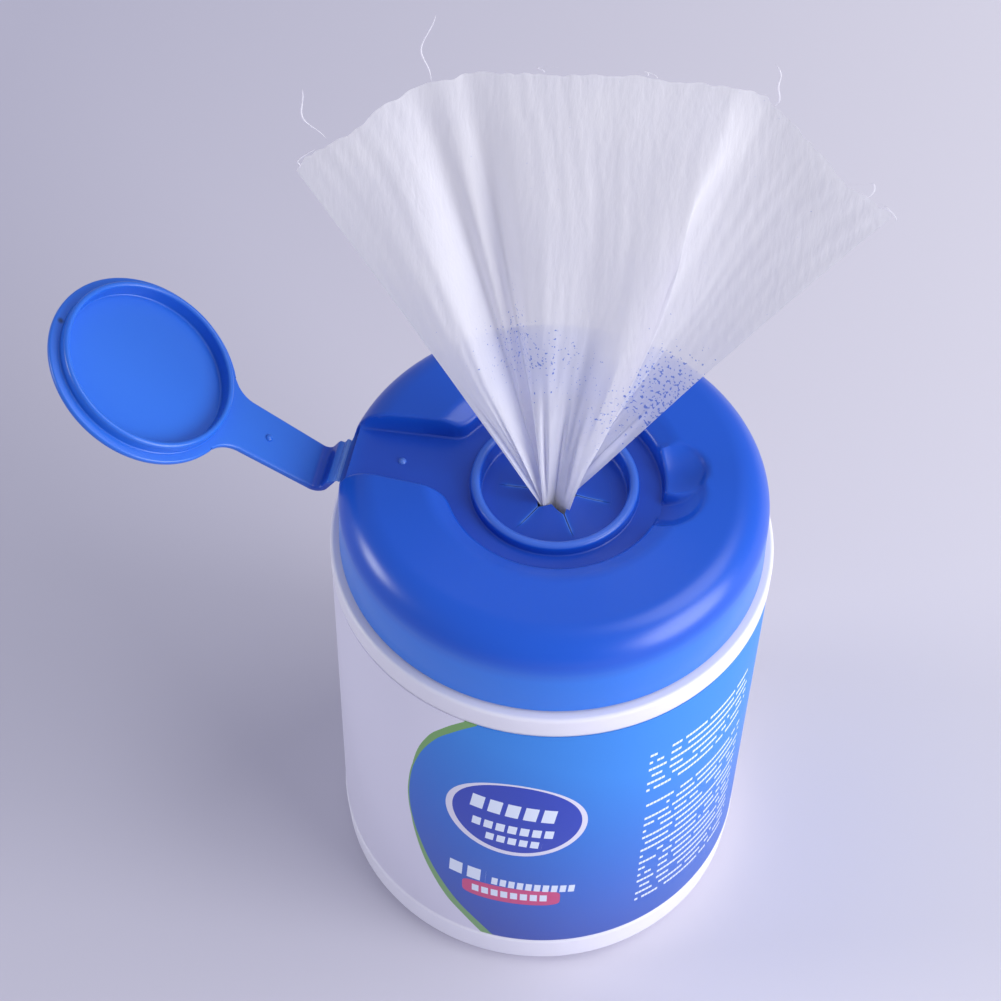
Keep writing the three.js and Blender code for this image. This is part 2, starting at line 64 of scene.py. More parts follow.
# %% camera
CAMERA_AT = np.array([44.95, -319.83, 550.76])
LOOKS = np.array([-0.1057, 0.5947, -0.797])
RIGHT = np.array([0.9805, 0.1959, 0.0161])
LOOKS = LOOKS / np.linalg.norm(LOOKS)
RIGHT = RIGHT - LOOKS * (RIGHT @ LOOKS)
RIGHT = RIGHT / np.linalg.norm(RIGHT)
UP = np.cross(RIGHT, LOOKS)
lens = bpy.data.cameras.new("photo_view")
lens.lens = 87.45
lens.sensor_width = 36
lens.clip_end = 20
camera = bpy.data.objects.new("photo_view", lens)
turn = np.eye(4)
turn[:3, :3] = np.column_stack([RIGHT, UP, -LOOKS])
turn[:3, 3] = CAMERA_AT / 1000
camera.matrix_world = Matrix(turn.tolist())
bpy.context.scene.collection.objects.link(camera)
bpy.context.scene.camera = camera
print("camera", camera.matrix_world.translation)

# %% [markdown]
# ## Materials
# Every finish is a small tree of nodes, made from Blender's own shaders and patterns.
# Colours are written as hex values, as a paint program shows them, and one function turns them into the
# linear numbers that a shader works with. Another adds a node, sets it and links what feeds it.


# %% node helpers
def linear(colour):
    """A colour written as sRGB hex, as the linear RGBA that a shader wants."""
    value = np.array([int(colour[i:i + 2], 16) for i in (1, 3, 5)]) / 255
    value = np.where(value <= 0.04045, value / 12.92, ((value + 0.055) / 1.055) ** 2.4)
    return (*value, 1.0)


def add(tree, kind, values=None, **settings):
    """Adds a node. values maps its inputs, by name or number, to a plain value or another node's output."""
    node = tree.nodes.new(kind)
    for key, value in settings.items():
        setattr(node, key, value)
    for key, value in (values or {}).items():
        if isinstance(value, bpy.types.NodeSocket):
            tree.links.new(value, node.inputs[key])
        else:
            node.inputs[key].default_value = value
    return node


def material(name):
    """An empty node material: the material, its tree and its output node."""
    made = bpy.data.materials.new(name)
    made.use_nodes = True
    made.node_tree.nodes.clear()
    return made, made.node_tree, add(made.node_tree, "ShaderNodeOutputMaterial")


# %% [markdown]
# ## Plastics
# The tub is natural white polyethylene, blow-moulded: pale, satin and a little translucent.
# The lid and its cap are blue polypropylene, injection-moulded with a fine sheen. Places that were flexed go
# pale. A painted picture could show that, but a number on each point of the mesh, called "mark", follows the
# shape and needs no picture. The same number also carries painted shade deep in the recesses, and a painted
# highlight on the spout ring's top.

# %% tub plastic
WHITE_TUB = "#e4e3f2"

# Faint grain from the mould, and light that passes a little way in.
tub_plastic, tree, output = material("polyethylene_white")
place = add(tree, "ShaderNodeTexCoord").outputs["Object"]
grain = add(tree, "ShaderNodeTexNoise", {"Vector": place, "Scale": 900, "Detail": 2})
relief = add(tree, "ShaderNodeBump", {"Height": grain.outputs["Fac"], "Strength": 0.05, "Distance": 0.0002})
skin = add(tree, "ShaderNodeBsdfPrincipled", {
    "Base Color": linear(WHITE_TUB), "Roughness": 0.42, "Subsurface Weight": 0.25,
    "Subsurface Radius": (1, 1, 1), "Subsurface Scale": 0.002, "Normal": relief.outputs["Normal"]})
tree.links.new(skin.outputs["BSDF"], output.inputs["Surface"])
print("tub plastic", tub_plastic.name)

# %% blue plastic
BLUE_LID = "#1456cd"
# Painted light: the skirt's lighter blue stands in for light that comes back through it from the white tub.
BLUE_SKIRT_PAINTED_LIGHT = "#1f76e4"
# Painted shade, for the recess, the membrane and the inside of the cap's bend.
BLUE_PAINTED_SHADE = "#1a4cc0"
# The cap is the lid's own plastic; its lighter blue is painted light, for faces turned to the lamps.
BLUE_CAP_PAINTED_LIGHT = "#286ad6"
# Pale for flexed plastic, and also a painted highlight on the spout ring's top.
BLUE_STRESS_AND_HIGHLIGHT = "#7ea6f0"
DIRT = "#15294a"
DIRT_AT = (-0.10815, 0.0, 0.15927)


def blue_plastic(name, colour, painted_light_colour):
    """Injection-moulded polypropylene: even colour, with a slow flow pattern in the sheen. The skirt is
    painted a lighter blue, painted light for what shines back through it from the white tub. "mark" is above
    zero where the plastic is flexed pale and, on the spout ring's top, for a painted highlight; below zero it
    is painted shade, deep in the recess and inside the cap's bend. A speck of dirt sits on the cap's rim."""
    made, tree, output = material(name)
    place = add(tree, "ShaderNodeTexCoord").outputs["Object"]
    flow = add(tree, "ShaderNodeTexNoise", {"Vector": place, "Scale": 35, "Detail": 3})
    sheen = add(tree, "ShaderNodeMapRange", {"Value": flow.outputs["Fac"], "To Min": 0.25, "To Max": 0.35})
    grain = add(tree, "ShaderNodeTexNoise", {"Vector": place, "Scale": 700, "Detail": 3})
    relief = add(tree, "ShaderNodeBump", {
        "Height": grain.outputs["Fac"], "Strength": 0.04, "Distance": 0.0002})
    height = add(tree, "ShaderNodeSeparateXYZ", {0: place})
    # Painted light: below the lid's top the skirt is mixed towards a lighter blue.
    low = add(tree, "ShaderNodeMapRange", {
        "Value": height.outputs["Z"], "From Min": 0.1295, "From Max": 0.1245})
    mark = add(tree, "ShaderNodeAttribute", attribute_name="mark")
    # Painted shade where mark is below zero.
    deep = add(tree, "ShaderNodeMapRange", {
        "Value": mark.outputs["Fac"], "From Min": 0.0, "From Max": -1.0})
    gap = add(tree, "ShaderNodeVectorMath", {0: place, 1: DIRT_AT}, operation="DISTANCE")
    dirt = add(tree, "ShaderNodeMapRange", {
        "Value": gap.outputs["Value"], "From Min": 0.0009, "From Max": 0.0003, "To Max": 0.8})
    # Each tint lies over the ones before it, as far as its share says.
    tint = linear(colour)
    for share, over in ((low.outputs["Result"], painted_light_colour), (deep.outputs["Result"], BLUE_PAINTED_SHADE),
                        (mark.outputs["Fac"], BLUE_STRESS_AND_HIGHLIGHT), (dirt.outputs["Result"], DIRT)):
        layer = add(tree, "ShaderNodeMix", {"Factor": share, "A": tint, "B": linear(over)}, data_type="RGBA")
        tint = layer.outputs["Result"]
    skin = add(tree, "ShaderNodeBsdfPrincipled", {
        "Base Color": tint, "Roughness": sheen.outputs["Result"], "Subsurface Weight": 0.12,
        "Subsurface Radius": (0.3, 0.6, 1), "Subsurface Scale": 0.002, "Normal": relief.outputs["Normal"]})
    tree.links.new(skin.outputs["BSDF"], output.inputs["Surface"])
    return made


lid_plastic = blue_plastic("polypropylene_blue", BLUE_LID, BLUE_SKIRT_PAINTED_LIGHT)
# Painted light: the cap gets a lighter blue than the lid, though both are one moulding.
cap_plastic = blue_plastic("polypropylene_blue_cap", BLUE_CAP_PAINTED_LIGHT, BLUE_CAP_PAINTED_LIGHT)
print("blue plastics", lid_plastic.name, cap_plastic.name)

# %% [markdown]
# ## From numbers to a mesh
# Each piece is worked out as a grid of points, so that its curves stay exact and a size can be changed.
# A round piece is a profile turned about Z, and a profile is a line through corners with small arcs in place
# of the corners, as the edges of moulded plastic are. One function joins such grids into a mesh.


# %% profiles
def turned(profile, steps):
    """A profile of (radius, height) rows turned about Z: x = r cos a, y = r sin a, z = height."""
    angle = np.linspace(0, 2 * math.pi, steps, endpoint=False)
    radius, height = np.asarray(profile, float).T[:, :, None]
    return np.stack([radius * np.cos(angle), radius * np.sin(angle), height + 0 * angle], axis=-1)


def rounded(corners, steps=6):
    """A line through (x, y, radius) corners, with an arc of that radius in place of each corner."""
    corners = np.array([(*corner, 0)[:3] for corner in corners], float)
    points = [corners[0, :2]]
    for before, here, after in zip(corners[:-2], corners[1:-1], corners[2:]):
        a = (before - here)[:2]
        b = (after - here)[:2]
        a_length, b_length = np.linalg.norm(a), np.linalg.norm(b)
        a, b = a / a_length, b / b_length
        half = math.acos(np.clip(a @ b, -1, 1)) / 2
        back = min(here[2] / math.tan(half), 0.49 * a_length, 0.49 * b_length)
        if here[2] == 0 or half > 1.56:
            points.append(here[:2])
            continue
        share = np.linspace(0, 1, steps)[:, None]
        start, end = here[:2] + a * back, here[:2] + b * back
        middle = here[:2] + (a + b) / np.linalg.norm(a + b) * back / math.cos(half)
        reach = np.linalg.norm(start - middle)
        arc = (start - middle) * (1 - share) + (end - middle) * share
        points.extend(middle + arc / np.linalg.norm(arc, axis=1)[:, None] * reach)
    points.append(corners[-1, :2])
    return np.array(points)


# %% mesh maker
SHARP_EDGE = math.radians(38)


def surface(name, grids, look, marks=None, closed=True):
    """One mesh from grids of points (rows, columns, xyz), each with True where its last column meets its
    first. Points that fall together are welded, so that seams and poles close, and a square that loses a side
    turns into a triangle. A closed mesh faces outwards: it is turned round if its volume comes out below
    zero. marks is a number for each point of each grid."""
    points, squares, first = [], [], 0
    for grid, wraps in grids:
        rows, columns = grid.shape[:2]
        index = first + np.arange(rows * columns).reshape(rows, columns)
        if wraps:
            index = np.column_stack([index, index[:, 0]])
        corners = [index[:-1, :-1], index[:-1, 1:], index[1:, 1:], index[1:, :-1]]
        squares.append(np.stack(corners, -1).reshape(-1, 4))
        points.append(grid.reshape(-1, 3))
        first += rows * columns
    points, squares = np.round(np.concatenate(points), 4), np.concatenate(squares)
    places, chosen, same = np.unique(points, axis=0, return_index=True, return_inverse=True)
    squares = same.ravel()[squares]
    follows = squares == np.roll(squares, -1, axis=1)
    whole = squares[~follows.any(axis=1)]
    pinched = squares[follows.sum(axis=1) == 1]
    triangles = pinched[~(pinched == np.roll(pinched, -1, axis=1))].reshape(-1, 3)
    corners = np.concatenate([whole.ravel(), triangles.ravel()])
    sizes = np.concatenate([np.full(len(whole), 4), np.full(len(triangles), 3)])
    starts = np.cumsum(sizes) - sizes
    a, b, c, d = places[whole].transpose(1, 0, 2)
    if closed and (a * (np.cross(b, c) + np.cross(c, d))).sum() < 0:
        corners = corners[np.repeat(2 * starts + sizes - 1, sizes) - np.arange(len(corners))]
    mesh = bpy.data.meshes.new(name)
    mesh.vertices.add(len(places))
    mesh.vertices.foreach_set("co", (places / 1000).ravel())
    mesh.loops.add(len(corners))
    mesh.loops.foreach_set("vertex_index", corners)
    mesh.polygons.add(len(sizes))
    mesh.polygons.foreach_set("loop_start", starts)
    mesh.update(calc_edges=True)
    mesh.validate()
    mesh.shade_smooth()
    if closed:
        mesh.set_sharp_from_angle(angle=SHARP_EDGE)
    if marks is not None:
        values = np.concatenate([np.ravel(mark) for mark in marks])[chosen].astype(np.float32)
        mesh.attributes.new("mark", "FLOAT", "POINT").data.foreach_set("value", values)
    made = bpy.data.objects.new(name, mesh)
    bpy.context.scene.collection.objects.link(made)
    mesh.materials.append(look)
    print(name, len(places), "points", len(sizes), "faces")
    return made


# %% [markdown]
# ## Tub
# A blow-moulded tub is round, so its whole wall is one profile: out along the base, up the outside, over the
# mouth and down the inside. The label sits in a panel half a millimetre deep, and a bead round the neck holds
# the lid.

# %% tub
PANEL_R = 49.1
PANEL_LOW, PANEL_HIGH = 12.4, 107.0
BAND_R, BAND_Z = 49.6, 113.4
NECK_R, MOUTH_Z = 45.0, 124.5
TUB_WALL = 1.5
BEAD_Z = (BAND_Z + MOUTH_Z) / 2
tub_profile = rounded([
    (0, 0), (32, 0, 2), (36, 0.8, 4), (40, 0, 2), (48.9, 0, 6),
    (BAND_R, PANEL_LOW - 0.9, 0.6), (PANEL_R, PANEL_LOW, 0.3),
    (PANEL_R, PANEL_HIGH, 0.3), (BAND_R, PANEL_HIGH + 0.9, 0.6),
    (BAND_R, BAND_Z, 0.9), (NECK_R, BAND_Z, 0.4),
    (NECK_R, BEAD_Z - 1), (NECK_R + 0.5, BEAD_Z, 0.5), (NECK_R, BEAD_Z + 1),
    (NECK_R, MOUTH_Z, 0.6), (NECK_R - TUB_WALL, MOUTH_Z, 0.6),
    (NECK_R - TUB_WALL, BAND_Z - 0.75, 1), (PANEL_R - TUB_WALL, BAND_Z - 3.5, 2),
    (PANEL_R - TUB_WALL, 2, 4.5), (0, 2)], 8)
tub = surface("tub_wall", [(turned(tub_profile, 192), True)], tub_plastic)
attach(tub, "tub")
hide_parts("tub")

# %% [markdown]
# ## Label
# The wrap is printed plastic film. Its print is laid out in millimetres on the sleeve: s runs round it from
# the front, z is the height. An image on a UV map would do it too, but here every field, oval and row of
# blocks is a shape with a formula, so its edges stay sharp at any distance.

# %% place on the label
LABEL_R = 49.45
FRONT_TURN = math.radians(8)
INK = {"white": "#dedcf0", "blue": "#2063ca", "deep": "#123fae", "azure": "#3184e2", "green": "#76a664",
       "royal": "#2640b6", "pill": "#cc3f7c", "blocks": "#dfe9fd"}

label_film, tree, output = material("printed_film")
place = add(tree, "ShaderNodeSeparateXYZ", {0: add(tree, "ShaderNodeTexCoord").outputs["Object"]})
minus_y = add(tree, "ShaderNodeMath", {0: place.outputs["Y"], 1: -1.0}, operation="MULTIPLY")
angle = add(tree, "ShaderNodeMath", {0: place.outputs["X"], 1: minus_y.outputs[0]}, operation="ARCTAN2")
s_turned = add(tree, "ShaderNodeMath", {0: angle.outputs[0], 1: LABEL_R}, operation="MULTIPLY")
# The front of the print is 8 degrees round from -Y.
s = add(tree, "ShaderNodeMath", {0: s_turned.outputs[0], 1: LABEL_R * FRONT_TURN}, operation="SUBTRACT")
z = add(tree, "ShaderNodeMath", {0: place.outputs["Z"], 1: 1000.0}, operation="MULTIPLY")
on_label = add(tree, "ShaderNodeCombineXYZ", {"X": s.outputs[0], "Y": z.outputs[0]})
print("inks", INK)

# %% blue field
# The field's edge: how far round it lies at each height, as a curve over the label's height.
EDGE = [(12, -8.5), (18.2, -13.2), (24.7, -18.4), (31.3, -22.5), (37.9, -25.8), (44.9, -28.4), (52.2, -30.4),
        (60.3, -31.5), (69.5, -31.3), (80.3, -29.4), (93.6, -24.3), (100, -20), (107.2, -13.5)]
EDGE_LOW, EDGE_HIGH, EDGE_REACH = 12.0, 107.2, 40.0
FAR_EDGE = 78.0
height_share = add(tree, "ShaderNodeMapRange", {
    "Value": z.outputs[0], "From Min": EDGE_LOW, "From Max": EDGE_HIGH})
edge_curve = add(tree, "ShaderNodeFloatCurve", {"Value": height_share.outputs["Result"]})
points = edge_curve.mapping.curves[0].points
for number, (height, around) in enumerate(EDGE):
    where = ((height - EDGE_LOW) / (EDGE_HIGH - EDGE_LOW), (around + EDGE_REACH) / EDGE_REACH)
    if number in (0, len(EDGE) - 1):
        points[0 if number == 0 else -1].location = where
    else:
        points.new(*where)
edge_curve.mapping.update()
edge = add(tree, "ShaderNodeMapRange", {
    "Value": edge_curve.outputs["Value"], "To Min": -EDGE_REACH, "To Max": 0.0})
past_edge = add(tree, "ShaderNodeMath", {0: s.outputs[0], 1: edge.outputs["Result"]}, operation="SUBTRACT")
# On the far side the field ends on the same curve, seen in a mirror.
far_side = add(tree, "ShaderNodeMath", {0: FAR_EDGE, 1: s.outputs[0]}, operation="SUBTRACT")
past_far = add(tree, "ShaderNodeMath", {
    0: far_side.outputs[0], 1: edge.outputs["Result"]}, operation="SUBTRACT")
inside = add(tree, "ShaderNodeMath", {0: past_edge.outputs[0], 1: past_far.outputs[0]}, operation="MINIMUM")
in_field = add(tree, "ShaderNodeMath", {0: inside.outputs[0], 1: 0.0}, operation="GREATER_THAN")

# The green line hugs the field: a hair wide at mid height, wide towards both ends.
from_middle = add(tree, "ShaderNodeMath", {0: z.outputs[0], 1: 66.0}, operation="SUBTRACT")
from_middle = add(tree, "ShaderNodeMath", {0: from_middle.outputs[0]}, operation="ABSOLUTE")
stripe = add(tree, "ShaderNodeMapRange", {
    "Value": from_middle.outputs[0], "From Min": 12.0, "From Max": 42.0, "To Min": 0.4, "To Max": 3.0})
in_stripe = add(tree, "ShaderNodeMath", {0: inside.outputs[0], 1: stripe.outputs["Result"]}, operation="ADD")
in_stripe = add(tree, "ShaderNodeMath", {0: in_stripe.outputs[0], 1: 0.0}, operation="GREATER_THAN")

# The field runs from deep blue at the foot to azure at the upper right.
rise = add(tree, "ShaderNodeVectorMath", {
    0: on_label.outputs[0], 1: (0.005, 0.0105, 0)}, operation="DOT_PRODUCT")
blues = add(tree, "ShaderNodeValToRGB", {"Fac": rise.outputs["Value"]})
blues.color_ramp.elements[0].position = 0.1
blues.color_ramp.elements[0].color = linear(INK["deep"])
blues.color_ramp.elements[1].position = 1.0
blues.color_ramp.elements[1].color = linear(INK["azure"])
blues.color_ramp.elements.new(0.5).color = linear(INK["blue"])
layers = [(in_stripe, linear(INK["green"])), (in_field, blues.outputs["Color"])]
print("field's edge through", len(EDGE), "points")

# %% [markdown]
# The badge and the pill are ovals: the shares of both half sizes, each raised to a power, add up to 1 on the
# outline. Power 2 gives an ellipse and a high power a box with round corners. Rows of small blocks give the
# label the grain of print: bold ones on the badge and the pill, and fine ones in two panels on the right.


# %% printed shapes
def own_place(centre_s, centre_z, half_s, half_z, tilt):
    """Where a point of the label lies in a tilted shape's own frame: first in millimetres from its centre,
    then without its sign and divided by the shape's half sizes, so that 1 is the shape's side."""
    moved = add(tree, "ShaderNodeVectorMath", {
        0: on_label.outputs[0], 1: (centre_s, centre_z, 0)}, operation="SUBTRACT")
    own = add(tree, "ShaderNodeVectorRotate", {
        "Vector": moved.outputs[0], "Angle": math.radians(-tilt)}, rotation_type="Z_AXIS")
    share = add(tree, "ShaderNodeVectorMath", {0: own.outputs[0], 1: (half_s, half_z, 1)}, operation="DIVIDE")
    share = add(tree, "ShaderNodeVectorMath", {0: share.outputs[0]}, operation="ABSOLUTE")
    return [add(tree, "ShaderNodeSeparateXYZ", {0: vector.outputs[0]}) for vector in (own, share)]


# Ovals and pills: centre (s, z), half width, half height, tilt in degrees, power, ink.
SHAPES = [(-4.8, 69.9, 16.6, 15.8, 8, 2.0, "white"), (-4.6, 70.3, 15.1, 14.7, 8, 2.0, "royal"),
          (-5.2, 34.4, 11.9, 3.6, 0, 5.0, "pill")]
for *where, power, ink in SHAPES:
    _, share = own_place(*where)
    across = add(tree, "ShaderNodeMath", {0: share.outputs["X"], 1: power}, operation="POWER")
    along = add(tree, "ShaderNodeMath", {0: share.outputs["Y"], 1: power}, operation="POWER")
    both = add(tree, "ShaderNodeMath", {0: across.outputs[0], 1: along.outputs[0]}, operation="ADD")
    in_shape = add(tree, "ShaderNodeMath", {0: both.outputs[0], 1: 1.0}, operation="LESS_THAN")
    layers.append((in_shape, linear(INK[ink])))
print(len(SHAPES), "ovals and pills")

# %% rows of blocks
# Centre (s, z), half width, half height, tilt in degrees, lines, blocks per millimetre.
BLOCKS = [(-4.7, 74.0, 10.4, 2.8, -8, 1, 0.24), (-4.9, 65.6, 9.9, 1.7, -6, 1, 0.353),
          (-4.9, 60.4, 6.6, 1.5, -6, 1, 0.379), (-15.8, 41.4, 4.6, 2.7, -3, 1, 0.218),
          (0.4, 39.4, 10.2, 1.6, -4, 1, 0.49), (-5.2, 34.4, 9.4, 1.5, 0, 1, 0.425),
          (42.5, 84.5, 17.0, 9.0, 0, 6, 1.05), (42.5, 47.5, 16.5, 24.0, 0, 16, 1.05)]
BOLD_FILL, FINE_FILL, LINE_FILL, BREAK_LIMIT = 0.72, 0.88, 0.33, 0.42
for *where, lines, per_mm in BLOCKS:
    half_s, half_z = where[2:4]
    own, share = own_place(*where)
    outer = add(tree, "ShaderNodeMath", {0: share.outputs["X"], 1: share.outputs["Y"]}, operation="MAXIMUM")
    count = add(tree, "ShaderNodeMath", {
        0: own.outputs["X"], 1: per_mm, 2: half_s * per_mm}, operation="MULTIPLY_ADD")
    along_block = add(tree, "ShaderNodeMath", {0: count.outputs[0]}, operation="FRACT")
    masks = [(outer, "LESS_THAN", 1.0), (along_block, "LESS_THAN", BOLD_FILL if lines == 1 else FINE_FILL)]
    if lines > 1:
        # Several lines have gaps between them, and each line breaks off at places of its own.
        line = add(tree, "ShaderNodeMath", {
            0: own.outputs["Y"], 1: lines / half_z / 2, 2: lines / 2}, operation="MULTIPLY_ADD")
        up_line = add(tree, "ShaderNodeMath", {0: line.outputs[0]}, operation="FRACT")
        row = add(tree, "ShaderNodeMath", {0: line.outputs[0]}, operation="FLOOR")
        column = add(tree, "ShaderNodeMath", {0: count.outputs[0]}, operation="FLOOR")
        cell = add(tree, "ShaderNodeCombineXYZ", {"X": column.outputs[0], "Y": row.outputs[0]})
        cell = add(tree, "ShaderNodeVectorMath", {
            0: cell.outputs[0], 1: (0.31, 7.31, 0)}, operation="MULTIPLY")
        breaks = add(tree, "ShaderNodeTexNoise", {"Vector": cell.outputs[0], "Scale": 1.0, "Detail": 1.0})
        masks += [(up_line, "LESS_THAN", LINE_FILL), (breaks, "GREATER_THAN", BREAK_LIMIT)]
    printed = 1.0
    for source, test, limit in masks:
        passes = add(tree, "ShaderNodeMath", {0: source.outputs[0], 1: limit}, operation=test)
        mask = add(tree, "ShaderNodeMath", {0: passes.outputs[0], 1: printed}, operation="MULTIPLY")
        printed = mask.outputs[0]
    layers.append((mask, linear(INK["blocks"])))
print(len(BLOCKS), "rows of blocks")

# %% printed film
# Film over ink: satin, with each layer of ink over the ones before it.
colour = linear(INK["white"])
for mask, ink in layers:
    layer = add(tree, "ShaderNodeMix", {"Factor": mask.outputs[0], "A": colour, "B": ink}, data_type="RGBA")
    colour = layer.outputs["Result"]
skin = add(tree, "ShaderNodeBsdfPrincipled", {"Base Color": colour, "Roughness": 0.38})
tree.links.new(skin.outputs["BSDF"], output.inputs["Surface"])
print("print layout", len(layers), "layers", len(tree.nodes), "nodes")

# %% [markdown]
# The sleeve is one thin closed profile turned about Z, like the tub. It stands a third of a millimetre clear
# of the panel's ends, as a real wrap does, so that its cut edges can be seen.

# %% label sleeve
END_GAP, GLUE_GAP = 0.3, 0.05
sleeve_low, sleeve_high, sleeve_in = PANEL_LOW + END_GAP, PANEL_HIGH - END_GAP, PANEL_R + GLUE_GAP
sleeve = rounded([
    (sleeve_in, sleeve_low), (LABEL_R, sleeve_low, 0.1), (LABEL_R, sleeve_high, 0.1),
    (sleeve_in, sleeve_high), (sleeve_in, sleeve_low)], 3)
label = surface("label_sleeve", [(turned(sleeve, 192), True)], label_film)
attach(label, "tub")
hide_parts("label")

# %% [markdown]
# ## Lid
# The lid is a low dome with a round recess, a channel for the strap and a finger notch.
# Cutting these shapes out with a Boolean would leave hard edges, so the top is a height over a grid of angles
# and radii instead. The distance to the nearest wall sets the height, with a small fillet at the foot of the
# wall and a rounded edge at its top.

# %% lid sizes
LID_TOP_R, LID_EDGE_R, LID_EDGE_Z = 47.2, 47.5, 113.9
CROWN_Z, CROWN_FALL = 136.2, 1.2
SHOULDER = 8.5
SHOULDER_R, SHOULDER_Z = LID_TOP_R - SHOULDER, 126.89
WELL_R, WELL_Z = 23.8, 130.3
SPOUT_OUT, SPOUT_IN, SPOUT_Z = 18.4, 16.2, 133.0
MEMBRANE_Z, MEMBRANE_THICK = 128.0, 1
PETAL_R = 12.6
LEDGE_Z, LEDGE_X = 127.1, -45.35
WALL = 1.5
BEAD_IN_R, BEAD_IN_Z, BEAD_HALF = 45.9, 117.45, 1.05
BOWL_X, BOWL_FLAT_R, BOWL_R, BOWL_RISE, BOWL_SLOPE = 26.6, 4.6, 9.2, 3.2, 0.5
DISH_X, DISH_Y, DISH_R = 25.4, 7.0, 6.6
DISH_RIM, DISH_DEPTH, DISH_TILT = 0.25, 1.8, 0.12
BOWL_BLEND, MOUTH_BLEND = 0.7, 2.6
TOP_ROUND, FOOT_FILLET = 0.9, 0.6
print("lid", 2 * LID_EDGE_R, "across,", CROWN_Z - LID_EDGE_Z, "high")


# %% lid height
def smooth(low, high, value):
    """0 below low, 1 above high, and a soft S between them."""
    share = np.clip((value - low) / (high - low), 0, 1)
    return share * share * (3 - 2 * share)


def softer_min(a, b, width):
    """The smaller of a and b, rounded over where they are closer together than width."""
    share = np.clip(0.5 + 0.5 * (b - a) / width, 0, 1)
    return b + (a - b) * share - width * share * (1 - share)


def channel_half(x):
    """Half the width of the strap's channel at x: 9 at the recess, 7.5 at the rim."""
    return 9 - 1.5 * np.clip((-x - WELL_R) / (LID_TOP_R - WELL_R), 0, 1)


def lid_height(x, y, dome, inset):
    """The lid's surface where the bare dome has height dome. inset is 0 for the outside, the wall for the
    inside. height = the dome, dipped by the finger notch, then cut down to a floor where the distance to the
    outlines of the recess and the channel is below zero. The notch is a bowl that opens into the recess at
    floor level, and a shallow round dish fills the rear half of it."""
    radius = np.hypot(x, y)
    from_bowl = np.hypot(x - BOWL_X, y)
    up_side = np.clip((from_bowl - BOWL_FLAT_R) / (BOWL_R - BOWL_FLAT_R), 0, 1)
    bowl = WELL_Z + BOWL_SLOPE * np.clip(radius - WELL_R, 0, None) + BOWL_RISE * up_side ** 1.4 - inset
    from_dish = np.hypot(x - DISH_X, y - DISH_Y)
    dish = dome - DISH_RIM - DISH_DEPTH * np.clip(1 - (from_dish / DISH_R) ** 2, 0, 1)
    dish = dish - DISH_TILT * np.clip(DISH_Y + DISH_R - y, 0, 2 * DISH_R)
    top = softer_min(dome, bowl, BOWL_BLEND)
    top = top + (np.minimum(dish, dome) - top) * smooth(0.9, -0.9, from_dish - DISH_R)
    to_channel = np.where(x < 0, np.abs(y) - channel_half(x), 30)
    away = softer_min(radius - WELL_R, to_channel, MOUTH_BLEND) - inset
    on_ledge = smooth(-0.15, 0.15, LEDGE_X + inset - x)
    floor = WELL_Z - (WELL_Z - LEDGE_Z) * on_ledge - inset
    into_edge = np.clip((TOP_ROUND + 0.1 - away) / TOP_ROUND, 0, 1)
    into_fillet = np.clip((away + FOOT_FILLET + 0.1) / FOOT_FILLET, 0, 1)
    above = top - TOP_ROUND * (1 - np.sqrt(1 - into_edge ** 2))
    low = np.minimum(floor + FOOT_FILLET * (1 - np.sqrt(1 - into_fillet ** 2)), top)
    cut = low + (np.maximum(above, low) - low) * np.clip((away + 0.1) / 0.2, 0, 1)
    return np.where(away > TOP_ROUND + 0.1, top, np.minimum(cut, top))


print("height over the notch", lid_height(BOWL_X, 0.0, CROWN_Z, 0))

# %% [markdown]
# The grid lines follow the channel's walls, so that the walls stay straight, and lie close together at the
# finger notch. The rows start at the membrane and go over the spout ring, out over the dome, down the skirt
# and back inside, so that the lid is one closed wall like the tub.

# %% lid grid
BESIDE_WALL = [6, 4.4, 3.2, 2.4, 1.8, 1.3, 1.0, 0.75, 0.5, 0.3, 0.1, -0.1, -0.3, -0.5, -0.7, -1.2]


def lid_angles(radius):
    """Angles of the grid lines at each radius: fine at the notch and at the channel's walls, even elsewhere.
    A line that stays at a distance from the middle has the arc sine of distance over radius as its angle."""
    radius = np.maximum(radius, WELL_R)[:, None]
    half = channel_half(-radius)
    walls = math.pi - np.arcsin((half + BESIDE_WALL) / radius)
    inside = math.pi - np.arcsin((half - 1.2) * np.linspace(1, 0, 9)[1:-1] / radius)
    notch = np.radians(np.linspace(0, 27, 49)) + 0 * radius
    between = notch[:, -1:] + (walls[:, :1] - notch[:, -1:]) * np.linspace(0, 1, 68)[1:-1]
    one_side = np.column_stack([notch, between, walls, inside])
    middle = np.full((len(radius), 1), math.pi)
    return np.column_stack([one_side, middle, 2 * math.pi - one_side[:, :0:-1]])


ring = rounded([
    (PETAL_R, MEMBRANE_Z), (SPOUT_IN, MEMBRANE_Z, 0.5), (SPOUT_IN, SPOUT_Z, 1.05),
    (SPOUT_OUT, SPOUT_Z, 1.05), (SPOUT_OUT, WELL_Z, 0.4), (SPOUT_OUT + 1, WELL_Z)], 8)
flat_rows = np.concatenate([
    np.linspace(20, 22.9, 4), np.arange(23.1, 25.2, 0.1), np.arange(25.3, 33, 0.3),
    np.arange(33, SHOULDER_R, 0.7)])
crown = CROWN_Z - CROWN_FALL * (flat_rows / LID_TOP_R) ** 2
lean = np.radians(np.concatenate([np.arange(2.4, 47, 4), np.arange(47, 63, 1.0), np.arange(64, 91, 3.25)]))
shoulder = np.column_stack([SHOULDER_R + SHOULDER * np.sin(lean), SHOULDER_Z + SHOULDER * np.cos(lean)])
skirt_in = LID_EDGE_R - WALL
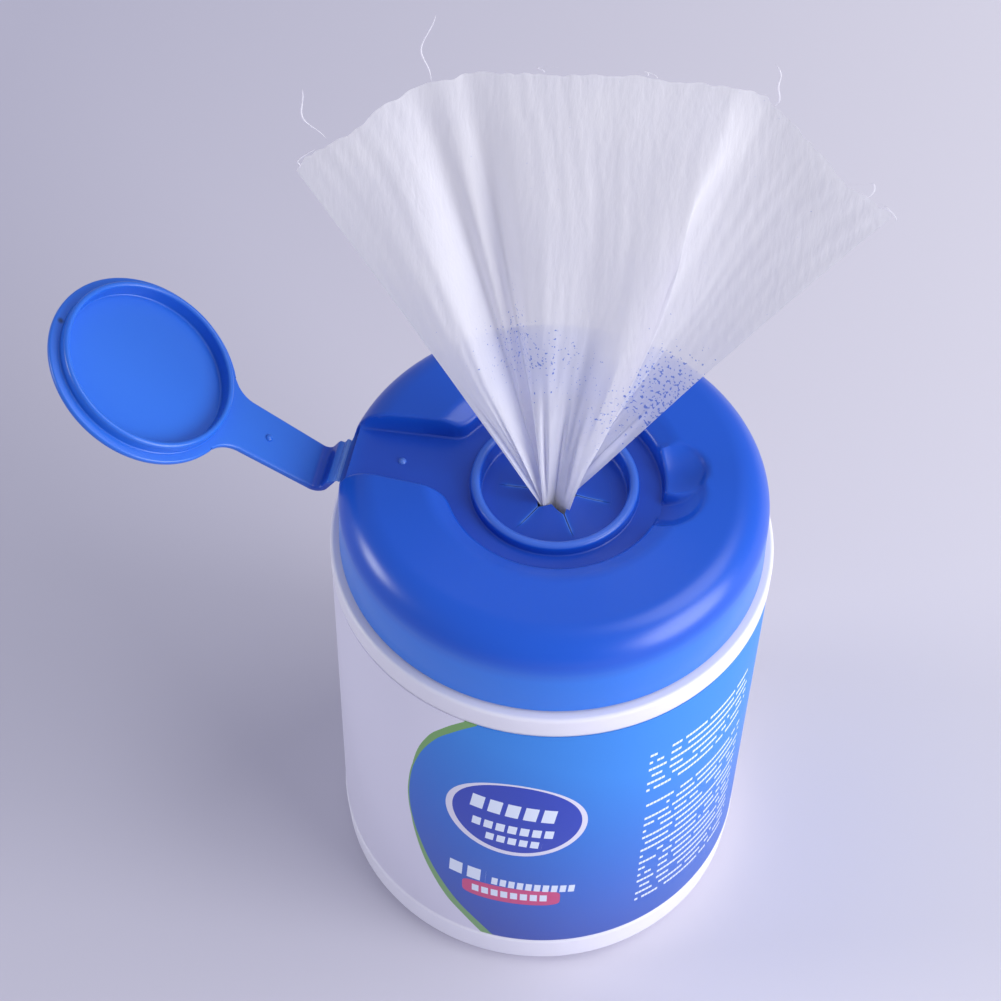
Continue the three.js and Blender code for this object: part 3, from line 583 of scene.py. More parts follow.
skirt = rounded([
    (LID_TOP_R, 126.5), (LID_EDGE_R, LID_EDGE_Z, 0.5), (skirt_in, LID_EDGE_Z, 0.4),
    (skirt_in, BEAD_IN_Z - BEAD_HALF), (BEAD_IN_R, BEAD_IN_Z, 0.3), (skirt_in, BEAD_IN_Z + BEAD_HALF),
    (LID_TOP_R - WALL, 124.5)], 5)
lean = np.radians(np.linspace(88, 4, 24))
inner_round = SHOULDER - WALL
inner = np.column_stack([SHOULDER_R + inner_round * np.sin(lean), SHOULDER_Z + inner_round * np.cos(lean)])
inner_flat = np.concatenate([np.arange(38.4, 27, -0.8), np.arange(26.6, 24.4, -0.15), [23.5, 22, 20.2]])
inner_crown = CROWN_Z - WALL - CROWN_FALL * (inner_flat / LID_TOP_R) ** 2
membrane_low = MEMBRANE_Z - MEMBRANE_THICK
closing = np.array([(19.9, membrane_low), (16, membrane_low), (PETAL_R, membrane_low), (PETAL_R, MEMBRANE_Z)])
outer_rows = np.concatenate([ring, np.column_stack([flat_rows, crown]), shoulder])
inner_rows = np.concatenate([inner, np.column_stack([inner_flat, inner_crown])])
rows = np.concatenate([outer_rows, skirt, inner_rows, closing])
angles = lid_angles(rows[:, 0])
x = rows[:, :1] * np.cos(angles)
y = rows[:, :1] * np.sin(angles)
z = rows[:, 1:] + 0 * angles
on_top = slice(len(ring), len(outer_rows))
under = slice(len(outer_rows) + len(skirt), len(rows) - len(closing))
z[on_top] = lid_height(x[on_top], y[on_top], z[on_top], 0)
z[under] = lid_height(x[under], y[under], z[under], WALL)
lid_grid = np.stack([x, y, z], axis=-1)

# Painted shade: places deep below the dome are darkened, and so are the spout ring's sides towards the floor.
# A painted highlight makes the ring's top a little pale.
lid_mark = -smooth(1.0, 5.0, rows[:, 1:] - z)
ring_z = z[:len(ring)]
lid_mark[:len(ring)] = 0.2 * smooth(SPOUT_Z - 0.9, SPOUT_Z - 0.2, ring_z)
lid_mark[:len(ring)] -= 0.9 * smooth(SPOUT_Z - 0.5, SPOUT_Z - 2.5, ring_z)
print("lid grid", lid_grid.shape)

# %% [markdown]
# The membrane is cut into six petals. Each is a wedge with a top, a bottom and two slit faces, and the
# gathered wipe has bent its tip up a little. The plastic along the slits is pale from wear, and the rest of
# the membrane is darkened with painted shade, deep in the recess. A pip stands on the channel's floor to
# catch the strap.

# %% petals and pip
PETALS = 6
SLIT = 0.3
TIP_R, TIP_LIFT = 3.7, 0.9
# How far out the hole's edge lies at each slit. It is furthest where the wipe presses through.
ROOTS = [5.0, 4.4, 4.4, 4.4, 5.4, 6.3]
PIP_R, PIP_HIGH, LID_PIP_X = 0.9, 0.6, -34
petal_turn = 2 * math.pi / PETALS
share = np.linspace(0, 1, 15)[None, :]
inward = np.linspace(0, 1, 13)[:, None]
petals, petal_marks = [], []
for number in range(PETALS):
    before, after = ROOTS[number] - TIP_R, ROOTS[(number + 1) % PETALS] - TIP_R
    hole = TIP_R + np.where(share < 0.5, before, after) * np.abs(2 * share - 1) ** 1.4
    radius = PETAL_R + (hole - PETAL_R) * inward
    slit = np.arcsin(SLIT / 2 / radius) * smooth(PETAL_R - 0.2, PETAL_R - 0.9, radius)
    slit = slit * (0.35 + 0.65 * inward)
    turn_to = petal_turn * number + slit + (petal_turn - 2 * slit) * share
    lift = TIP_LIFT * ((PETAL_R - radius) / (PETAL_R - TIP_R)) ** 2
    top = np.stack([radius * np.cos(turn_to), radius * np.sin(turn_to), MEMBRANE_Z + lift], axis=-1)
    bottom = top - [0, 0, MEMBRANE_THICK]
    petals += [(top[::-1], False), (bottom, False)]
    petals += [(np.stack([top[:, 0], bottom[:, 0]], axis=1)[::-1], False)]
    petals += [(np.stack([bottom[:, -1], top[:, -1]], axis=1)[::-1], False)]
    petals += [(np.stack([top[-1], bottom[-1]]), False), (np.stack([bottom[0], top[0]]), False)]
    # Pale from wear along the slits; elsewhere -0.9, painted shade on the membrane.
    wear_and_shade = 1.5 * np.exp(-np.minimum(share, 1 - share) * radius / 0.3) * smooth(0.02, 0.3, inward) - 0.9
    petal_marks += [wear_and_shade[::-1], wear_and_shade, wear_and_shade[::-1][:, [0, 0]], wear_and_shade[::-1][:, [-1, -1]],
                    wear_and_shade[[-1, -1]], wear_and_shade[[0, 0]]]


def pip_at(x, y, z, direction):
    """A small round pip, half an ellipsoid: radius times the cosine of the lean, height times its sine."""
    lean = np.linspace(0, math.pi / 2, 7)
    made = turned(np.column_stack([PIP_R * np.cos(lean), PIP_HIGH * direction * np.sin(lean)]), 20)
    return made + [x, y, z]


pip = pip_at(LID_PIP_X, 0, WELL_Z, 1)
lid_marks = [lid_mark, *petal_marks, np.full(pip.shape[:2], 0.35)]
lid = surface("lid_shell", [(lid_grid, True), *petals, (pip, True)], lid_plastic, lid_marks)
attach(lid, "lid")
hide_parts("lid")

# %% [markdown]
# ## Flip cap
# The cap is a disc with a ring under it and a strap that flares out of its rim. It is laid out closed and
# flat, with the hinge line at X = 0 and the disc's centre at 47.35, because every size is plain there. Then
# the strap is bent down to the hinge, and the whole cap is turned open by 147 degrees, as it stands in the
# photo.

# %% cap sizes
CAP_AT, CAP_R = 47.35, 22.5
CAP_SEAT, CAP_TOP, THICK = 6.3, 7.7, 1.4
EDGE_ROUND = 0.5
RING_IN, RING_OUT, RING_LOW, UNDER_Z = 18.8, 20.2, 3.5, 7.3
FLARE, STRAP_HALF, STRAP_END = 7.0, 6.7, 6.0
STRAP_BEYOND, STRAIGHT_BY, SETTLED_BY = 6.13, 14, 5
WEB_THICK, THINS_FROM, THINS_TO = 0.45, 7.4, 8.3
CAP_PIP_X = CAP_AT - 31.5
BEND = 3.2
OPEN = math.radians(147)
HINGE = np.array([-47.35, 0, 127.3])
INNER_R = CAP_R - EDGE_ROUND
flare_y = STRAP_HALF + FLARE
flare_x = math.sqrt((CAP_R + FLARE) ** 2 - flare_y ** 2)
lobe = math.atan2(flare_y, flare_x)
print("the strap leaves the disc", round(math.degrees(lobe), 1), "degrees to each side")


# %% strap and bend
def strap_half(beyond):
    """Half width of the strap's flat face at a distance from the disc's centre: an arc that leaves the disc's
    circle at a tangent, into a slow taper. The edge's rounding lies outside this line."""
    into_arc = np.clip(flare_x - beyond, 0, FLARE)
    arc = flare_y - np.sqrt((FLARE + EDGE_ROUND) ** 2 - into_arc ** 2)
    taper = STRAP_HALF - (STRAP_HALF - STRAP_END) * np.clip((beyond - flare_x) / (CAP_AT - flare_x), 0, 1)
    return np.where(beyond < flare_x, arc, taper - EDGE_ROUND)


def folded(points):
    """Bends the flat strap down to the hinge and opens the cap. What lies past BEND goes round a quarter
    circle of that radius, and depth below the top face is kept. Then all turns about the hinge line."""
    x, y, z = points[..., 0], points[..., 1], points[..., 2]
    depth = CAP_TOP - z
    past = np.clip(BEND - x, 0, None)
    quarter = BEND * math.pi / 2
    around = np.minimum(past, quarter) / BEND
    bent_x = np.where(past > 0, BEND - (BEND - depth) * np.sin(around), x)
    bent_z = np.where(past > 0, CAP_TOP - BEND + (BEND - depth) * np.cos(around), z)
    bent_z = bent_z - np.clip(past - quarter, 0, None)
    c, s = math.cos(OPEN), math.sin(OPEN)
    return np.stack([c * bent_x - s * bent_z, y, s * bent_x + c * bent_z], axis=-1) + HINGE


def about_disc(profile, angles):
    """Rows of (radius, height) at the given angles about the disc's centre."""
    radius, height = profile.T[:, :, None]
    return np.stack([CAP_AT + radius * np.cos(angles), radius * np.sin(angles), height + 0 * angles], axis=-1)


print("strap half widths", strap_half(np.array([flare_x, CAP_AT])))

# %% [markdown]
# The strap's own grid starts on the disc's circle and straightens out on the way to the hinge. Both faces get
# thin where the web begins, and meet at its end, so that the strap is closed. The rim's rounding then runs
# along the disc and both sides of the strap as one strip.

# %% cap faces
lobe_columns = 25
lobe_angles = math.pi + np.linspace(-lobe, lobe, lobe_columns)
rim_angles = np.linspace(math.pi + lobe, 3 * math.pi - lobe, 140)
disc_angles = np.concatenate([lobe_angles, rim_angles[1:-1]])
below = rounded([
    (0, UNDER_Z), (RING_IN, UNDER_Z, 0.4), (RING_IN, RING_LOW, 0.68), (RING_OUT, RING_LOW, 0.68),
    (RING_OUT, CAP_SEAT, 0.3), (INNER_R, CAP_SEAT)], 7)
below = np.concatenate([[(0, UNDER_Z), (6, UNDER_Z), (12, UNDER_Z)], below[1:]])
above_r = np.linspace(INNER_R, 0, 14)
above = np.column_stack([above_r, CAP_TOP + 0.9 * (1 - (above_r / INNER_R) ** 2)])

start_x = INNER_R * math.cos(lobe)
end_x = CAP_AT + STRAP_BEYOND
along = np.concatenate([np.linspace(0, 0.72, 46)[:-1], np.linspace(0.72, 1, 34)])
reach = np.append(start_x + (end_x - start_x) * along, end_x)[:, None]
side = np.linspace(-1, 1, lobe_columns)[None, :]
straight = smooth(start_x, start_x + STRAIGHT_BY, reach)
row_x = reach + (INNER_R * np.cos(side * lobe) - start_x) * (1 - straight)
circle_y = INNER_R * np.sin(side * lobe)
settle = smooth(start_x, start_x + SETTLED_BY, reach)
strap_y = side * strap_half(np.minimum(reach, CAP_AT))
strap_y = strap_y + (circle_y - side * INNER_R * math.sin(lobe)) * (1 - settle)
strap_y[0] = circle_y[0]
thick = THICK - (THICK - WEB_THICK) * smooth(THINS_FROM, THINS_TO, reach - CAP_AT + BEND)
thick[-1] = 0.0
flat_x = CAP_AT - row_x
top_side = np.stack([flat_x, strap_y, CAP_TOP + 0 * flat_x], axis=-1)
low_side = np.stack([flat_x, strap_y, CAP_TOP - thick + 0 * flat_x], axis=-1)
for face in (top_side, low_side):
    face[-1, :, 2] -= WEB_THICK / 2
print("strap grid", top_side.shape)

# %% cap rim and cap
arc = np.radians(np.linspace(0, 90, 5))
lip = np.concatenate([
    np.column_stack([EDGE_ROUND * np.sin(arc), EDGE_ROUND * (1 - np.cos(arc))]),
    np.column_stack([EDGE_ROUND * np.cos(arc), THICK - EDGE_ROUND * (1 - np.sin(arc))])])
rim = about_disc(np.column_stack([INNER_R + lip[:, 0], CAP_SEAT + lip[:, 1]]), rim_angles)


def strap_rim(column, sign):
    """The rounding along one side of the strap, between the edges of its lower and upper faces."""
    low, high = low_side[:, column], top_side[:, column]
    run = np.gradient(low[:, :2], axis=0)
    run[-1] = run[-2]
    out = np.column_stack([-run[:, 1], run[:, 0]]) * sign
    out = out / np.maximum(np.linalg.norm(out, axis=1), 1e-9)[:, None]
    out[0] = (math.cos(math.pi - sign * lobe), math.sin(math.pi - sign * lobe))
    scale = (high[:, 2] - low[:, 2])[:, None] / THICK
    grid = low[:, None, :] + 0 * lip[None, :, :1]
    grid[:, :, :2] += out[:, None, :] * lip[None, :, :1] * scale[:, :, None]
    grid[:, :, 2] += lip[None, :, 1] * scale
    return grid


cap_grids = [
    (about_disc(below, disc_angles), True), (about_disc(above, disc_angles), True), (rim, False),
    (low_side, False), (top_side[:, ::-1], False),
    (strap_rim(-1, -1), False), (strap_rim(0, 1)[:, ::-1], False),
    (pip_at(CAP_PIP_X, 0, CAP_SEAT, -1)[::-1], True)]
# The strap is pale where it is thin and flexes, and painted shade darkens the inside of the bend.
cap_marks = []
for grid, wraps in cap_grids:
    flat = grid[..., 0]
    cap_marks.append(0.55 * smooth(-4.2, -5.8, flat) - smooth(4.2, 2.4, flat) * smooth(-4.6, -3.2, flat))
cap_grids = [(folded(grid), wraps) for grid, wraps in cap_grids]
cap = surface("cap_shell", cap_grids, cap_plastic, cap_marks)
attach(cap, "flip_cap")
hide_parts("flip_cap")

# %% [markdown]
# ## Living hinge
# The cap and the lid are one moulding, joined by a thin web that bends. A small bent strip closes the gap
# between them.

# %% hinge web
WEB_HALF = 5.9
WEB_OVER, WEB_UNDER = 0.14, 0.16
width = np.linspace(-WEB_HALF, WEB_HALF, 25)[:, None]
bow = np.array([(-46.9, 126.95), (-47.2, 127.1), (-47.42, 127.2), (-47.62, 127.22), (-47.9, 127.0)])
web_top = bow + [0, WEB_OVER]
web_loop = np.concatenate([web_top, (bow - [0.02, WEB_UNDER])[::-1], web_top[:1]])[None]
web_rows = np.stack([
    web_loop[..., 0] + 0 * width, width + 0 * web_loop[..., 0], web_loop[..., 1] + 0 * width], axis=-1)
ends = web_rows[[0, -1]].mean(axis=1, keepdims=True) + 0 * web_rows[[0, -1]]
web_rows = np.concatenate([ends[:1], web_rows, ends[1:]])
web = surface("hinge_web", [(web_rows, False)], cap_plastic, [np.full(web_rows.shape[:2], 0.7)])
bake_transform(web)

# %% [markdown]
# ## Roll
# About sixty wet wipes are rolled without a core. Their turns show as fine rings on the upper face. The face
# is a profile that rises and falls with the radius, so that the rings are real and catch the light when the
# lid is off.

# %% roll
TURNS = 56
ROLL_IN, ROLL_OUT, ROLL_LOW, ROLL_HIGH = 9.0, 41.5, 2.3, 122.3
RING_DIP, RING_WAVE = 0.45, 0.12
radii = np.linspace(ROLL_OUT, ROLL_IN, 4 * TURNS + 1)
phase = (ROLL_OUT - radii) / (ROLL_OUT - ROLL_IN) * TURNS
face = ROLL_HIGH - RING_DIP * np.abs(np.sin(math.pi * phase)) ** 0.6 - RING_WAVE * np.sin(phase * 1.7) ** 2
roll_profile = np.concatenate([
    [(ROLL_IN, ROLL_LOW), (ROLL_OUT - 0.6, ROLL_LOW), (ROLL_OUT, ROLL_LOW + 0.6)],
    [(ROLL_OUT, ROLL_HIGH - 0.9)], np.column_stack([radii, face]), [(ROLL_IN, ROLL_LOW)]])

# Wet spunlace, a nonwoven of fibres tangled by water jets: soft and slightly grey-white, with a fine fuzz.
roll_cloth, tree, output = material("spunlace_rolled")
place = add(tree, "ShaderNodeTexCoord").outputs["Object"]
fuzz = add(tree, "ShaderNodeTexNoise", {"Vector": place, "Scale": 1400, "Detail": 3})
relief = add(tree, "ShaderNodeBump", {"Height": fuzz.outputs["Fac"], "Strength": 0.4, "Distance": 0.0003})
skin = add(tree, "ShaderNodeBsdfPrincipled", {
    "Base Color": linear("#e9e9f4"), "Roughness": 0.75, "Normal": relief.outputs["Normal"]})
tree.links.new(skin.outputs["BSDF"], output.inputs["Surface"])
roll = surface("wipe_roll_turns", [(turned(roll_profile, 120), True)], roll_cloth)
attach(roll, "tub")
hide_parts("wipe_roll")

# %% [markdown]
# ## Pulled wipe
# One sheet, 120 mm wide and about 160 mm long, stands as a fan. A cloth simulation could drape it but not to
# these folds, so the fan is a formula. Every thread runs straight from the gathered neck to the torn edge,
# like the ribs of a fan. u goes across the cloth and t goes up it. The direction of a thread depends on u
# alone, apart from one place where the cloth doubles back on itself and leaves a ridge. Depth towards the
# viewer is deep pleats in the neck plus broad folds in the middle.

# %% guide lines of the wipe
FAN_LEAN, FAN_TURN = math.radians(6), math.radians(8)
SHEET_WIDE, SHEET_LONG = 120, 160
# The torn edge by direction: degrees from straight up, and millimetres from the membrane.
TORN_EDGE = np.array([
    (-31.6, 101.6), (-29.2, 104.0), (-26.8, 105.3), (-23.1, 106.8), (-19.8, 109.7), (-13.9, 112.8),
    (-8.8, 113.3), (-4.9, 113.1), (-1.8, 113.1), (2.7, 113.3), (6.5, 113.9), (8.5, 113.8), (14.1, 115.3),
    (17.8, 114.9), (18.9, 113.7), (24.5, 108.8), (30.2, 104.4), (32.9, 104.8), (36.8, 103.8)])
# Folds by direction: degrees from straight up, and millimetres towards the viewer.
FOLDS = np.array([
    (-31.6, -0.5), (-28, 1.6), (-24, 3.6), (-20.5, 3.2), (-17.6, 0.6), (-16, -3.4), (-14.8, -3.2),
    (-13.3, -0.4), (-12.2, -0.2), (-11.0, -4.4), (-9.8, -3.6), (-7.2, 1.2), (-3, 2.9), (1, 3.0), (5, 3.1),
    (9, 3.8), (13, 4.9), (15, 5.4), (17.5, -1.5), (20, -3.2), (26, -3.8), (31, -3.0), (36.8, -1.2)])
# The gathered neck in the star of slits: share across the cloth, place across, and millimetres towards the
# viewer. Two lobes press into the two front slits, and the front petal stands in the notch between them.
NECK = np.array([
    (0, -2.7, 3.9), (0.10, -2.2, 2.4), (0.18, -2.6, 3.7), (0.235, -1.6, 0.8), (0.27, -2.0, 2.2),
    (0.305, -1.4, 0.2), (0.36, -2.5, 4.2), (0.42, -1.5, 3.7), (0.50, 0.3, 1.2), (0.56, 1.4, 3.0),
    (0.62, 2.9, 4.7), (0.682, 3.8, 4.8), (0.71, 2.6, 1.5), (0.76, 1.2, -1.0), (0.82, 3.4, -1.8),
    (0.88, 1.5, -3.0), (0.94, 3.4, -2.4), (1, 4.4, -0.6)])
TUCKS, TUCK_SHIFT, TUCK_DEEP = 11, 0.045, 3.2
DOUBLED_AT, DOUBLED_WIDE, DOUBLED_BACK = 0.682, 0.022, 5.2
VALLEY_AT, VALLEY_WIDE, VALLEY_DEEP = 6.5, 2.2, 2.2


def eased(values, where, spread):
    """A line through control points, smoothed with a bell of that spread, read off at where."""
    fine = np.linspace(values[0, 0], values[-1, 0], 1201)
    line = np.interp(fine, values[:, 0], values[:, 1])
    reach = int(3 * spread / (fine[1] - fine[0])) + 1
    bell = np.exp(-0.5 * (np.arange(-reach, reach + 1) * (fine[1] - fine[0]) / spread) ** 2)
    padded = np.concatenate([2 * line[0] - line[reach:0:-1], line, 2 * line[-1] - line[-2:-reach - 2:-1]])
    return np.interp(where, fine, np.convolve(padded, bell / bell.sum(), "valid"))


print("guide points", len(TORN_EDGE), len(FOLDS), len(NECK))


# %% fan
def fan_point(u, t):
    """A point of the fan in its own plane: across, up along the lean, and towards the viewer.
    place = neck + (torn edge - neck) times t. The depth is the neck's, fading out, plus the folds, the tucks
    at the neck, small creases and ripples, a valley right of the middle and a curl at the torn edge."""
    base = TORN_EDGE[0, 0] + (TORN_EDGE[-1, 0] - TORN_EDGE[0, 0]) * u
    doubled = (u - DOUBLED_AT) / DOUBLED_WIDE
    back = DOUBLED_BACK * smooth(0.88, 0.5, t) * smooth(0.0, 0.2, t)
    direction = np.radians(base - back * doubled * np.exp(-doubled ** 2 / 2))
    frayed = 0.22 * np.sin(211 * u + 3 * np.sin(17 * u)) * np.sin(37 * u)
    length = np.interp(base, TORN_EDGE[:, 0], TORN_EDGE[:, 1])
    length = length + 0.3 * np.sin(61 * u) * np.sin(23 * u + 1) + frayed
    neck = eased(NECK[:, [0, 1]], u, 0.012)
    forward = eased(NECK[:, [0, 2]], u, 0.012)
    across = neck + (length * np.sin(direction) - neck) * t
    up = t * length * np.cos(direction)
    fold = eased(FOLDS, base, 0.7) * smooth(0, 0.45, t) * (0.2 + 0.8 * smooth(1.03, 0.6, t))
    tuck = np.clip(np.cos(2 * math.pi * TUCKS * (u + TUCK_SHIFT)), 0, 1) ** 2
    fading = smooth(0, 0.13, t) * np.clip(1 - t / 0.38, 0, 1) ** 1.6
    tuck = -TUCK_DEEP * fading * tuck * smooth(-0.01, 0.03, u) * smooth(1.01, 0.97, u)
    crease = 0.2 * smooth(0.05, 0.3, t) * (1 - 0.8 * t) * smooth(0.8, 0.66, u)
    crease = crease * np.sin(2 * math.pi * 13.3 * u + 2 * t + 2 * np.sin(9 * u)) * np.sin(9 * u + 1 + 3 * t)
    ripple = 0.05 * np.sin(2 * math.pi * 27 * u + 6 * np.sin(5 * t + 4 * u)) * np.sin(7 * t + 11 * u)
    valley = -VALLEY_DEEP * np.exp(-((base - VALLEY_AT) / VALLEY_WIDE) ** 2)
    valley = valley * smooth(0.02, 0.2, t) * smooth(0.62, 0.32, t)
    curl = 1.1 * smooth(0.86, 1.0, t) * np.sin(2 * math.pi * 1.3 * u + 0.9 * np.sin(8 * u))
    return across, up, forward * (1 - t) ** 1.25 + fold + tuck + crease + ripple + valley + curl


def standing(across, up, towards):
    """From the fan's plane to the object: leaned back, turned about Z, foot at the membrane."""
    y = -towards * math.cos(FAN_LEAN) + up * math.sin(FAN_LEAN)
    z = up * math.cos(FAN_LEAN) + towards * math.sin(FAN_LEAN)
    c, s = math.cos(FAN_TURN), math.sin(FAN_TURN)
    return np.stack([across * c - y * s, across * s + y * c, z + MEMBRANE_Z], axis=-1)


# Columns are packed where the cloth doubles back.
spread = np.linspace(0, 1, 300)
density = 1 + 2.5 * np.exp(-((spread - DOUBLED_AT) / 0.05) ** 2)
count = np.cumsum(density) - density[0]
u = np.interp(np.linspace(0, 1, 300), count / count[-1], spread)[None, :]
t = np.linspace(0, 1, 170)[:, None]
fan = standing(*fan_point(u, t))
print("fan grid", fan.shape)

# %% [markdown]
# Below the membrane the cloth stays gathered in even pleats, turns slowly and hangs into the hole of the
# roll. The sheet is as large as the real one, so its pleats are as deep as its width asks for. The printed
# area shows how near it comes.

# %% tail of the wipe
TAIL_LONG, TAIL_HALF, TAIL_DEEP, TAIL_TWIST = 45.9, 4.6, 6.2, 0.7
down = np.linspace(1, 0, 40)[:-1, None]
neck_across, _, neck_forward = fan_point(u, 0 * u)
gather = smooth(0, 0.35, down)
sideways = 2 * u - 1
pleat = TAIL_DEEP * np.sqrt(1 - (0.9 * sideways) ** 2) * np.cos(2 * math.pi * TUCKS * (u + TUCK_SHIFT))
tail_across = neck_across + (sideways * TAIL_HALF - neck_across) * gather
tail_deep = neck_forward + (pleat - neck_forward) * gather
c, s = np.cos(TAIL_TWIST * down ** 2), np.sin(TAIL_TWIST * down ** 2)
tail = standing(tail_across * c - tail_deep * s, 0 * tail_across, tail_across * s + tail_deep * c)
tail[..., 2] = MEMBRANE_Z - TAIL_LONG * down
sheet = np.concatenate([tail, fan])
sides = [sheet[1:, :-1] - sheet[:-1, :-1], sheet[:-1, 1:] - sheet[:-1, :-1]]
area = np.linalg.norm(np.cross(*sides), axis=-1).sum()
print("cloth area, square mm", area, "of", SHEET_WIDE * SHEET_LONG)

# %% [markdown]
# ## Cloth
# Creped spunlace is thin and soft. Light comes through it, fine streaks run along the pull, and the weave is
# open enough for what is behind to show. Half of the light is scattered back and half is let through, and a
# small share passes straight. Two patches are thinner and let more through. Blue flecks in them are painted
# light, standing in for the lid seen through the weave.

# %% wipe cloth
CLOTH_DIM, CLOTH_BRIGHT, CLOTH_SHOW_THROUGH_BLUE = "#f4f3fb", "#fdfcff", "#5580dc"
SEE_THROUGH = 0.02
# Two thin patches, left of the middle and on the right flap: middle and reach in metres, how thin at most.
THIN_PATCHES = [((-0.006, 0.005, 0.172), 0.019, 0.17), ((0.021, 0.003, 0.157), 0.022, 0.24)]
wipe_cloth, tree, output = material("spunlace_creped")
place = add(tree, "ShaderNodeTexCoord").outputs["Object"]
stretched = add(tree, "ShaderNodeMapping", {"Vector": place, "Scale": (1.0, 1.0, 0.22)})
streak = add(tree, "ShaderNodeTexNoise", {"Vector": stretched.outputs[0], "Scale": 900, "Detail": 4})
cloud = add(tree, "ShaderNodeTexNoise", {"Vector": place, "Scale": 60, "Detail": 4})
relief = add(tree, "ShaderNodeBump", {"Height": streak.outputs["Fac"], "Strength": 0.4, "Distance": 0.0005})
white = add(tree, "ShaderNodeMix", {
    "Factor": cloud.outputs["Fac"], "A": linear(CLOTH_DIM), "B": linear(CLOTH_BRIGHT)}, data_type="RGBA")
near = 0
for middle, reach, share in THIN_PATCHES:
    gap = add(tree, "ShaderNodeVectorMath", {0: place, 1: middle}, operation="DISTANCE")
    patch = add(tree, "ShaderNodeMapRange", {
        "Value": gap.outputs["Value"], "From Min": reach, "From Max": 0.3 * reach, "To Max": share})
    near = add(tree, "ShaderNodeMath", {0: patch.outputs["Result"], 1: near}).outputs[0]
# Painted light: blue flecks in the thin patches stand in for the lid seen through the open weave.
speck = add(tree, "ShaderNodeTexNoise", {"Vector": place, "Scale": 1500, "Detail": 1})
limit = add(tree, "ShaderNodeMath", {0: 0.8, 1: near}, operation="SUBTRACT")
painted_show_through = add(tree, "ShaderNodeMath", {0: speck.outputs["Fac"], 1: limit.outputs[0]}, operation="SUBTRACT")
painted_show_through = add(tree, "ShaderNodeMapRange", {"Value": painted_show_through.outputs[0], "From Max": 0.06, "To Max": 0.8})
white = add(tree, "ShaderNodeMix", {
    "Factor": painted_show_through.outputs["Result"], "A": white.outputs["Result"], "B": linear(CLOTH_SHOW_THROUGH_BLUE)},
    data_type="RGBA")
front = add(tree, "ShaderNodeBsdfPrincipled", {
    "Base Color": white.outputs["Result"], "Roughness": 0.85, "Specular IOR Level": 0.2,
    "Normal": relief.outputs["Normal"]})
through = add(tree, "ShaderNodeBsdfTranslucent", {"Color": white.outputs["Result"]})
cloth = add(tree, "ShaderNodeMixShader", {0: 0.5, 1: front.outputs[0], 2: through.outputs[0]})
thin_here = add(tree, "ShaderNodeMath", {0: near, 1: 1.0, 2: SEE_THROUGH}, operation="MULTIPLY_ADD")
open_cloth = add(tree, "ShaderNodeMixShader", {
    0: thin_here.outputs[0], 1: cloth.outputs[0], 2: add(tree, "ShaderNodeBsdfTransparent").outputs[0]})
tree.links.new(open_cloth.outputs[0], output.inputs["Surface"])
wipe = surface("wipe_sheet", [(sheet, False)], wipe_cloth, closed=False)
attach(wipe, "lid")
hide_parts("wipe")

# %% [markdown]
# Loose fibres stand off the torn edge. Each is a thin tube along a curved line, given by three points as
# direction, distance from the membrane and depth: start, the point that pulls it, and end.

# %% fibres
FIBRES = [
    [(-26.4, 105.3, 0), (-27.6, 113.0, 2), (-25.2, 120.0, 3)],
    [(-13.9, 112.8, 0), (-14.4, 120.5, 1), (-11.8, 128.8, 2)],
    [(18.6, 113.4, 0), (19.2, 119, 1), (16.6, 124.4, 2)],
    [(30.2, 104.4, 0), (33.6, 112.0, 1), (31.7, 104.6, 3)],
    [(-3.1, 112.9, 0), (-4.4, 115.6, 1), (-1.9, 115.0, 1)],
    [(6.4, 113.8, 0), (5.8, 117.0, 1), (7.3, 114.6, 1)],
    [(-31.2, 101.6, 0), (-30.8, 104.6, 1), (-27.8, 105.8, 2)],
    [(34.6, 104.4, 0), (35.4, 106.0, 1), (36.8, 104.6, 2)]]
FIBRE_R = 0.16
bend = np.linspace(0, 1, 22)[:, None]
circle = np.linspace(0, 2 * math.pi, 6, endpoint=False)
ring_of = np.cos(circle)[:, None] * RIGHT + np.sin(circle)[:, None] * LOOKS
thin = FIBRE_R * np.sqrt(1 - np.linspace(-1, 1, 22) ** 2 * 0.999)
thin[[0, -1]] = 0
fibre_grids = []
for line in FIBRES:
    a, b, c = np.array(line, float)
    curve = a * (1 - bend) ** 2 + 2 * b * bend * (1 - bend) + c * bend ** 2
    curve[:, 0] += 0.25 * np.sin(9 * bend[:, 0])
    direction, distance, depth = np.radians(curve[:, 0]), curve[:, 1], curve[:, 2]
    core = standing(distance * np.sin(direction), distance * np.cos(direction), depth)
    fibre_grids.append((core[:, None, :] + ring_of[None] * thin[:, None, None], True))
fibres = surface("wipe_fibres", fibre_grids, wipe_cloth, closed=False)
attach(fibres, "lid")
for soft in (wipe, fibres):
    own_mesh(soft)

# %% [markdown]
# ## Floor and light
# The canister stands on pale lavender paper that fills the view. Its colour is painted darker to the left, as
# painted shade away from the right lamp. The paper's own colour makes the backdrop, so the lamps can stay at a
# plain level. They are large and far away: one from the right gives the broad highlights on the lid's
# shoulder, and two weaker ones fill from above and the left.

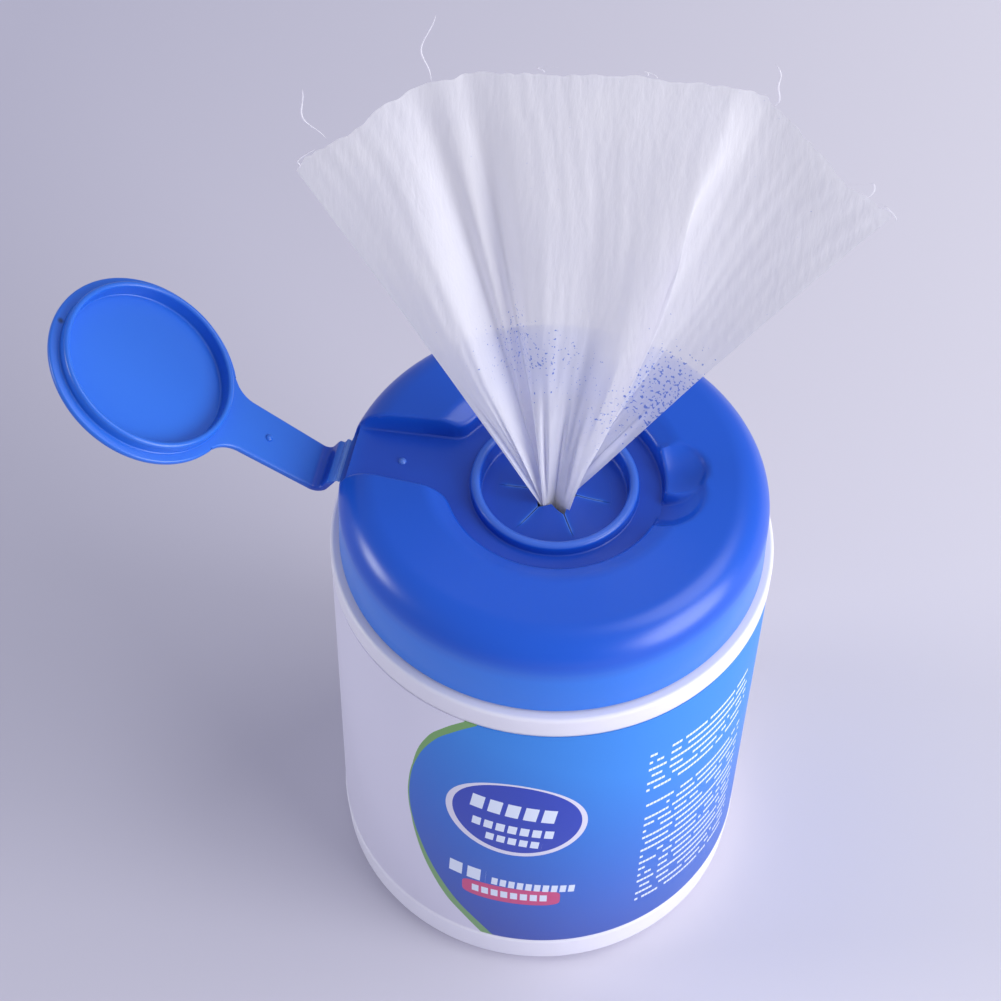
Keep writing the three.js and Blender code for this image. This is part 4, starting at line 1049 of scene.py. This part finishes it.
# %% floor
FLOOR_HALF = 12000
floor_paint, tree, output = material("backdrop_paper")
place = add(tree, "ShaderNodeSeparateXYZ", {0: add(tree, "ShaderNodeTexCoord").outputs["Object"]})
# Painted shade: the paper is darker to the left, away from the right softbox.
painted_light_share = add(tree, "ShaderNodeMapRange", {
    "Value": place.outputs["X"], "From Min": -0.22, "From Max": 0.25})
paper = add(tree, "ShaderNodeMix", {
    "Factor": painted_light_share.outputs["Result"], "A": linear("#bebccf"), "B": linear("#e8e5f0")}, data_type="RGBA")
skin = add(tree, "ShaderNodeBsdfDiffuse", {"Color": paper.outputs["Result"]})
tree.links.new(skin.outputs[0], output.inputs["Surface"])
square = FLOOR_HALF * np.array([[(-1, -1, 0), (1, -1, 0)], [(-1, 1, 0), (1, 1, 0)]], float)
floor = surface("floor", [(square, False)], floor_paint, closed=False)

# %% lamps
# Name, place and size in millimetres, watts. Each is a round area lamp that faces the canister's middle.
LAMPS = [("right_softbox", (2600, -840, 860), 2300, 84), ("left_softbox", (-2600, -460, 720), 900, 22),
         ("top_softbox", (1350, 375, 2250), 1650, 20)]
AIM = [0, 0, 110]
for name, spot, size, power in LAMPS:
    lamp = bpy.data.lights.new(name, "AREA")
    lamp.shape = "DISK"
    lamp.size = size / 1000
    lamp.energy = power
    made = bpy.data.objects.new(name, lamp)
    away = np.array(spot, float) - AIM
    away = away / np.linalg.norm(away)
    sideways = np.cross([0, 0, 1], away)
    sideways = sideways / np.linalg.norm(sideways)
    pose = np.eye(4)
    pose[:3, :3] = np.column_stack([sideways, np.cross(away, sideways), away])
    pose[:3, 3] = np.array(spot) / 1000
    made.matrix_world = Matrix(pose.tolist())
    bpy.context.scene.collection.objects.link(made)
    print(name, "at", spot, "mm", power, "W")
world = bpy.data.worlds.new("room")
world.use_nodes = True
world.node_tree.nodes["Background"].inputs["Color"].default_value = linear("#e6e8f5")
world.node_tree.nodes["Background"].inputs["Strength"].default_value = 0.47
bpy.context.scene.world = world
bpy.context.scene.view_settings.view_transform = "Standard"
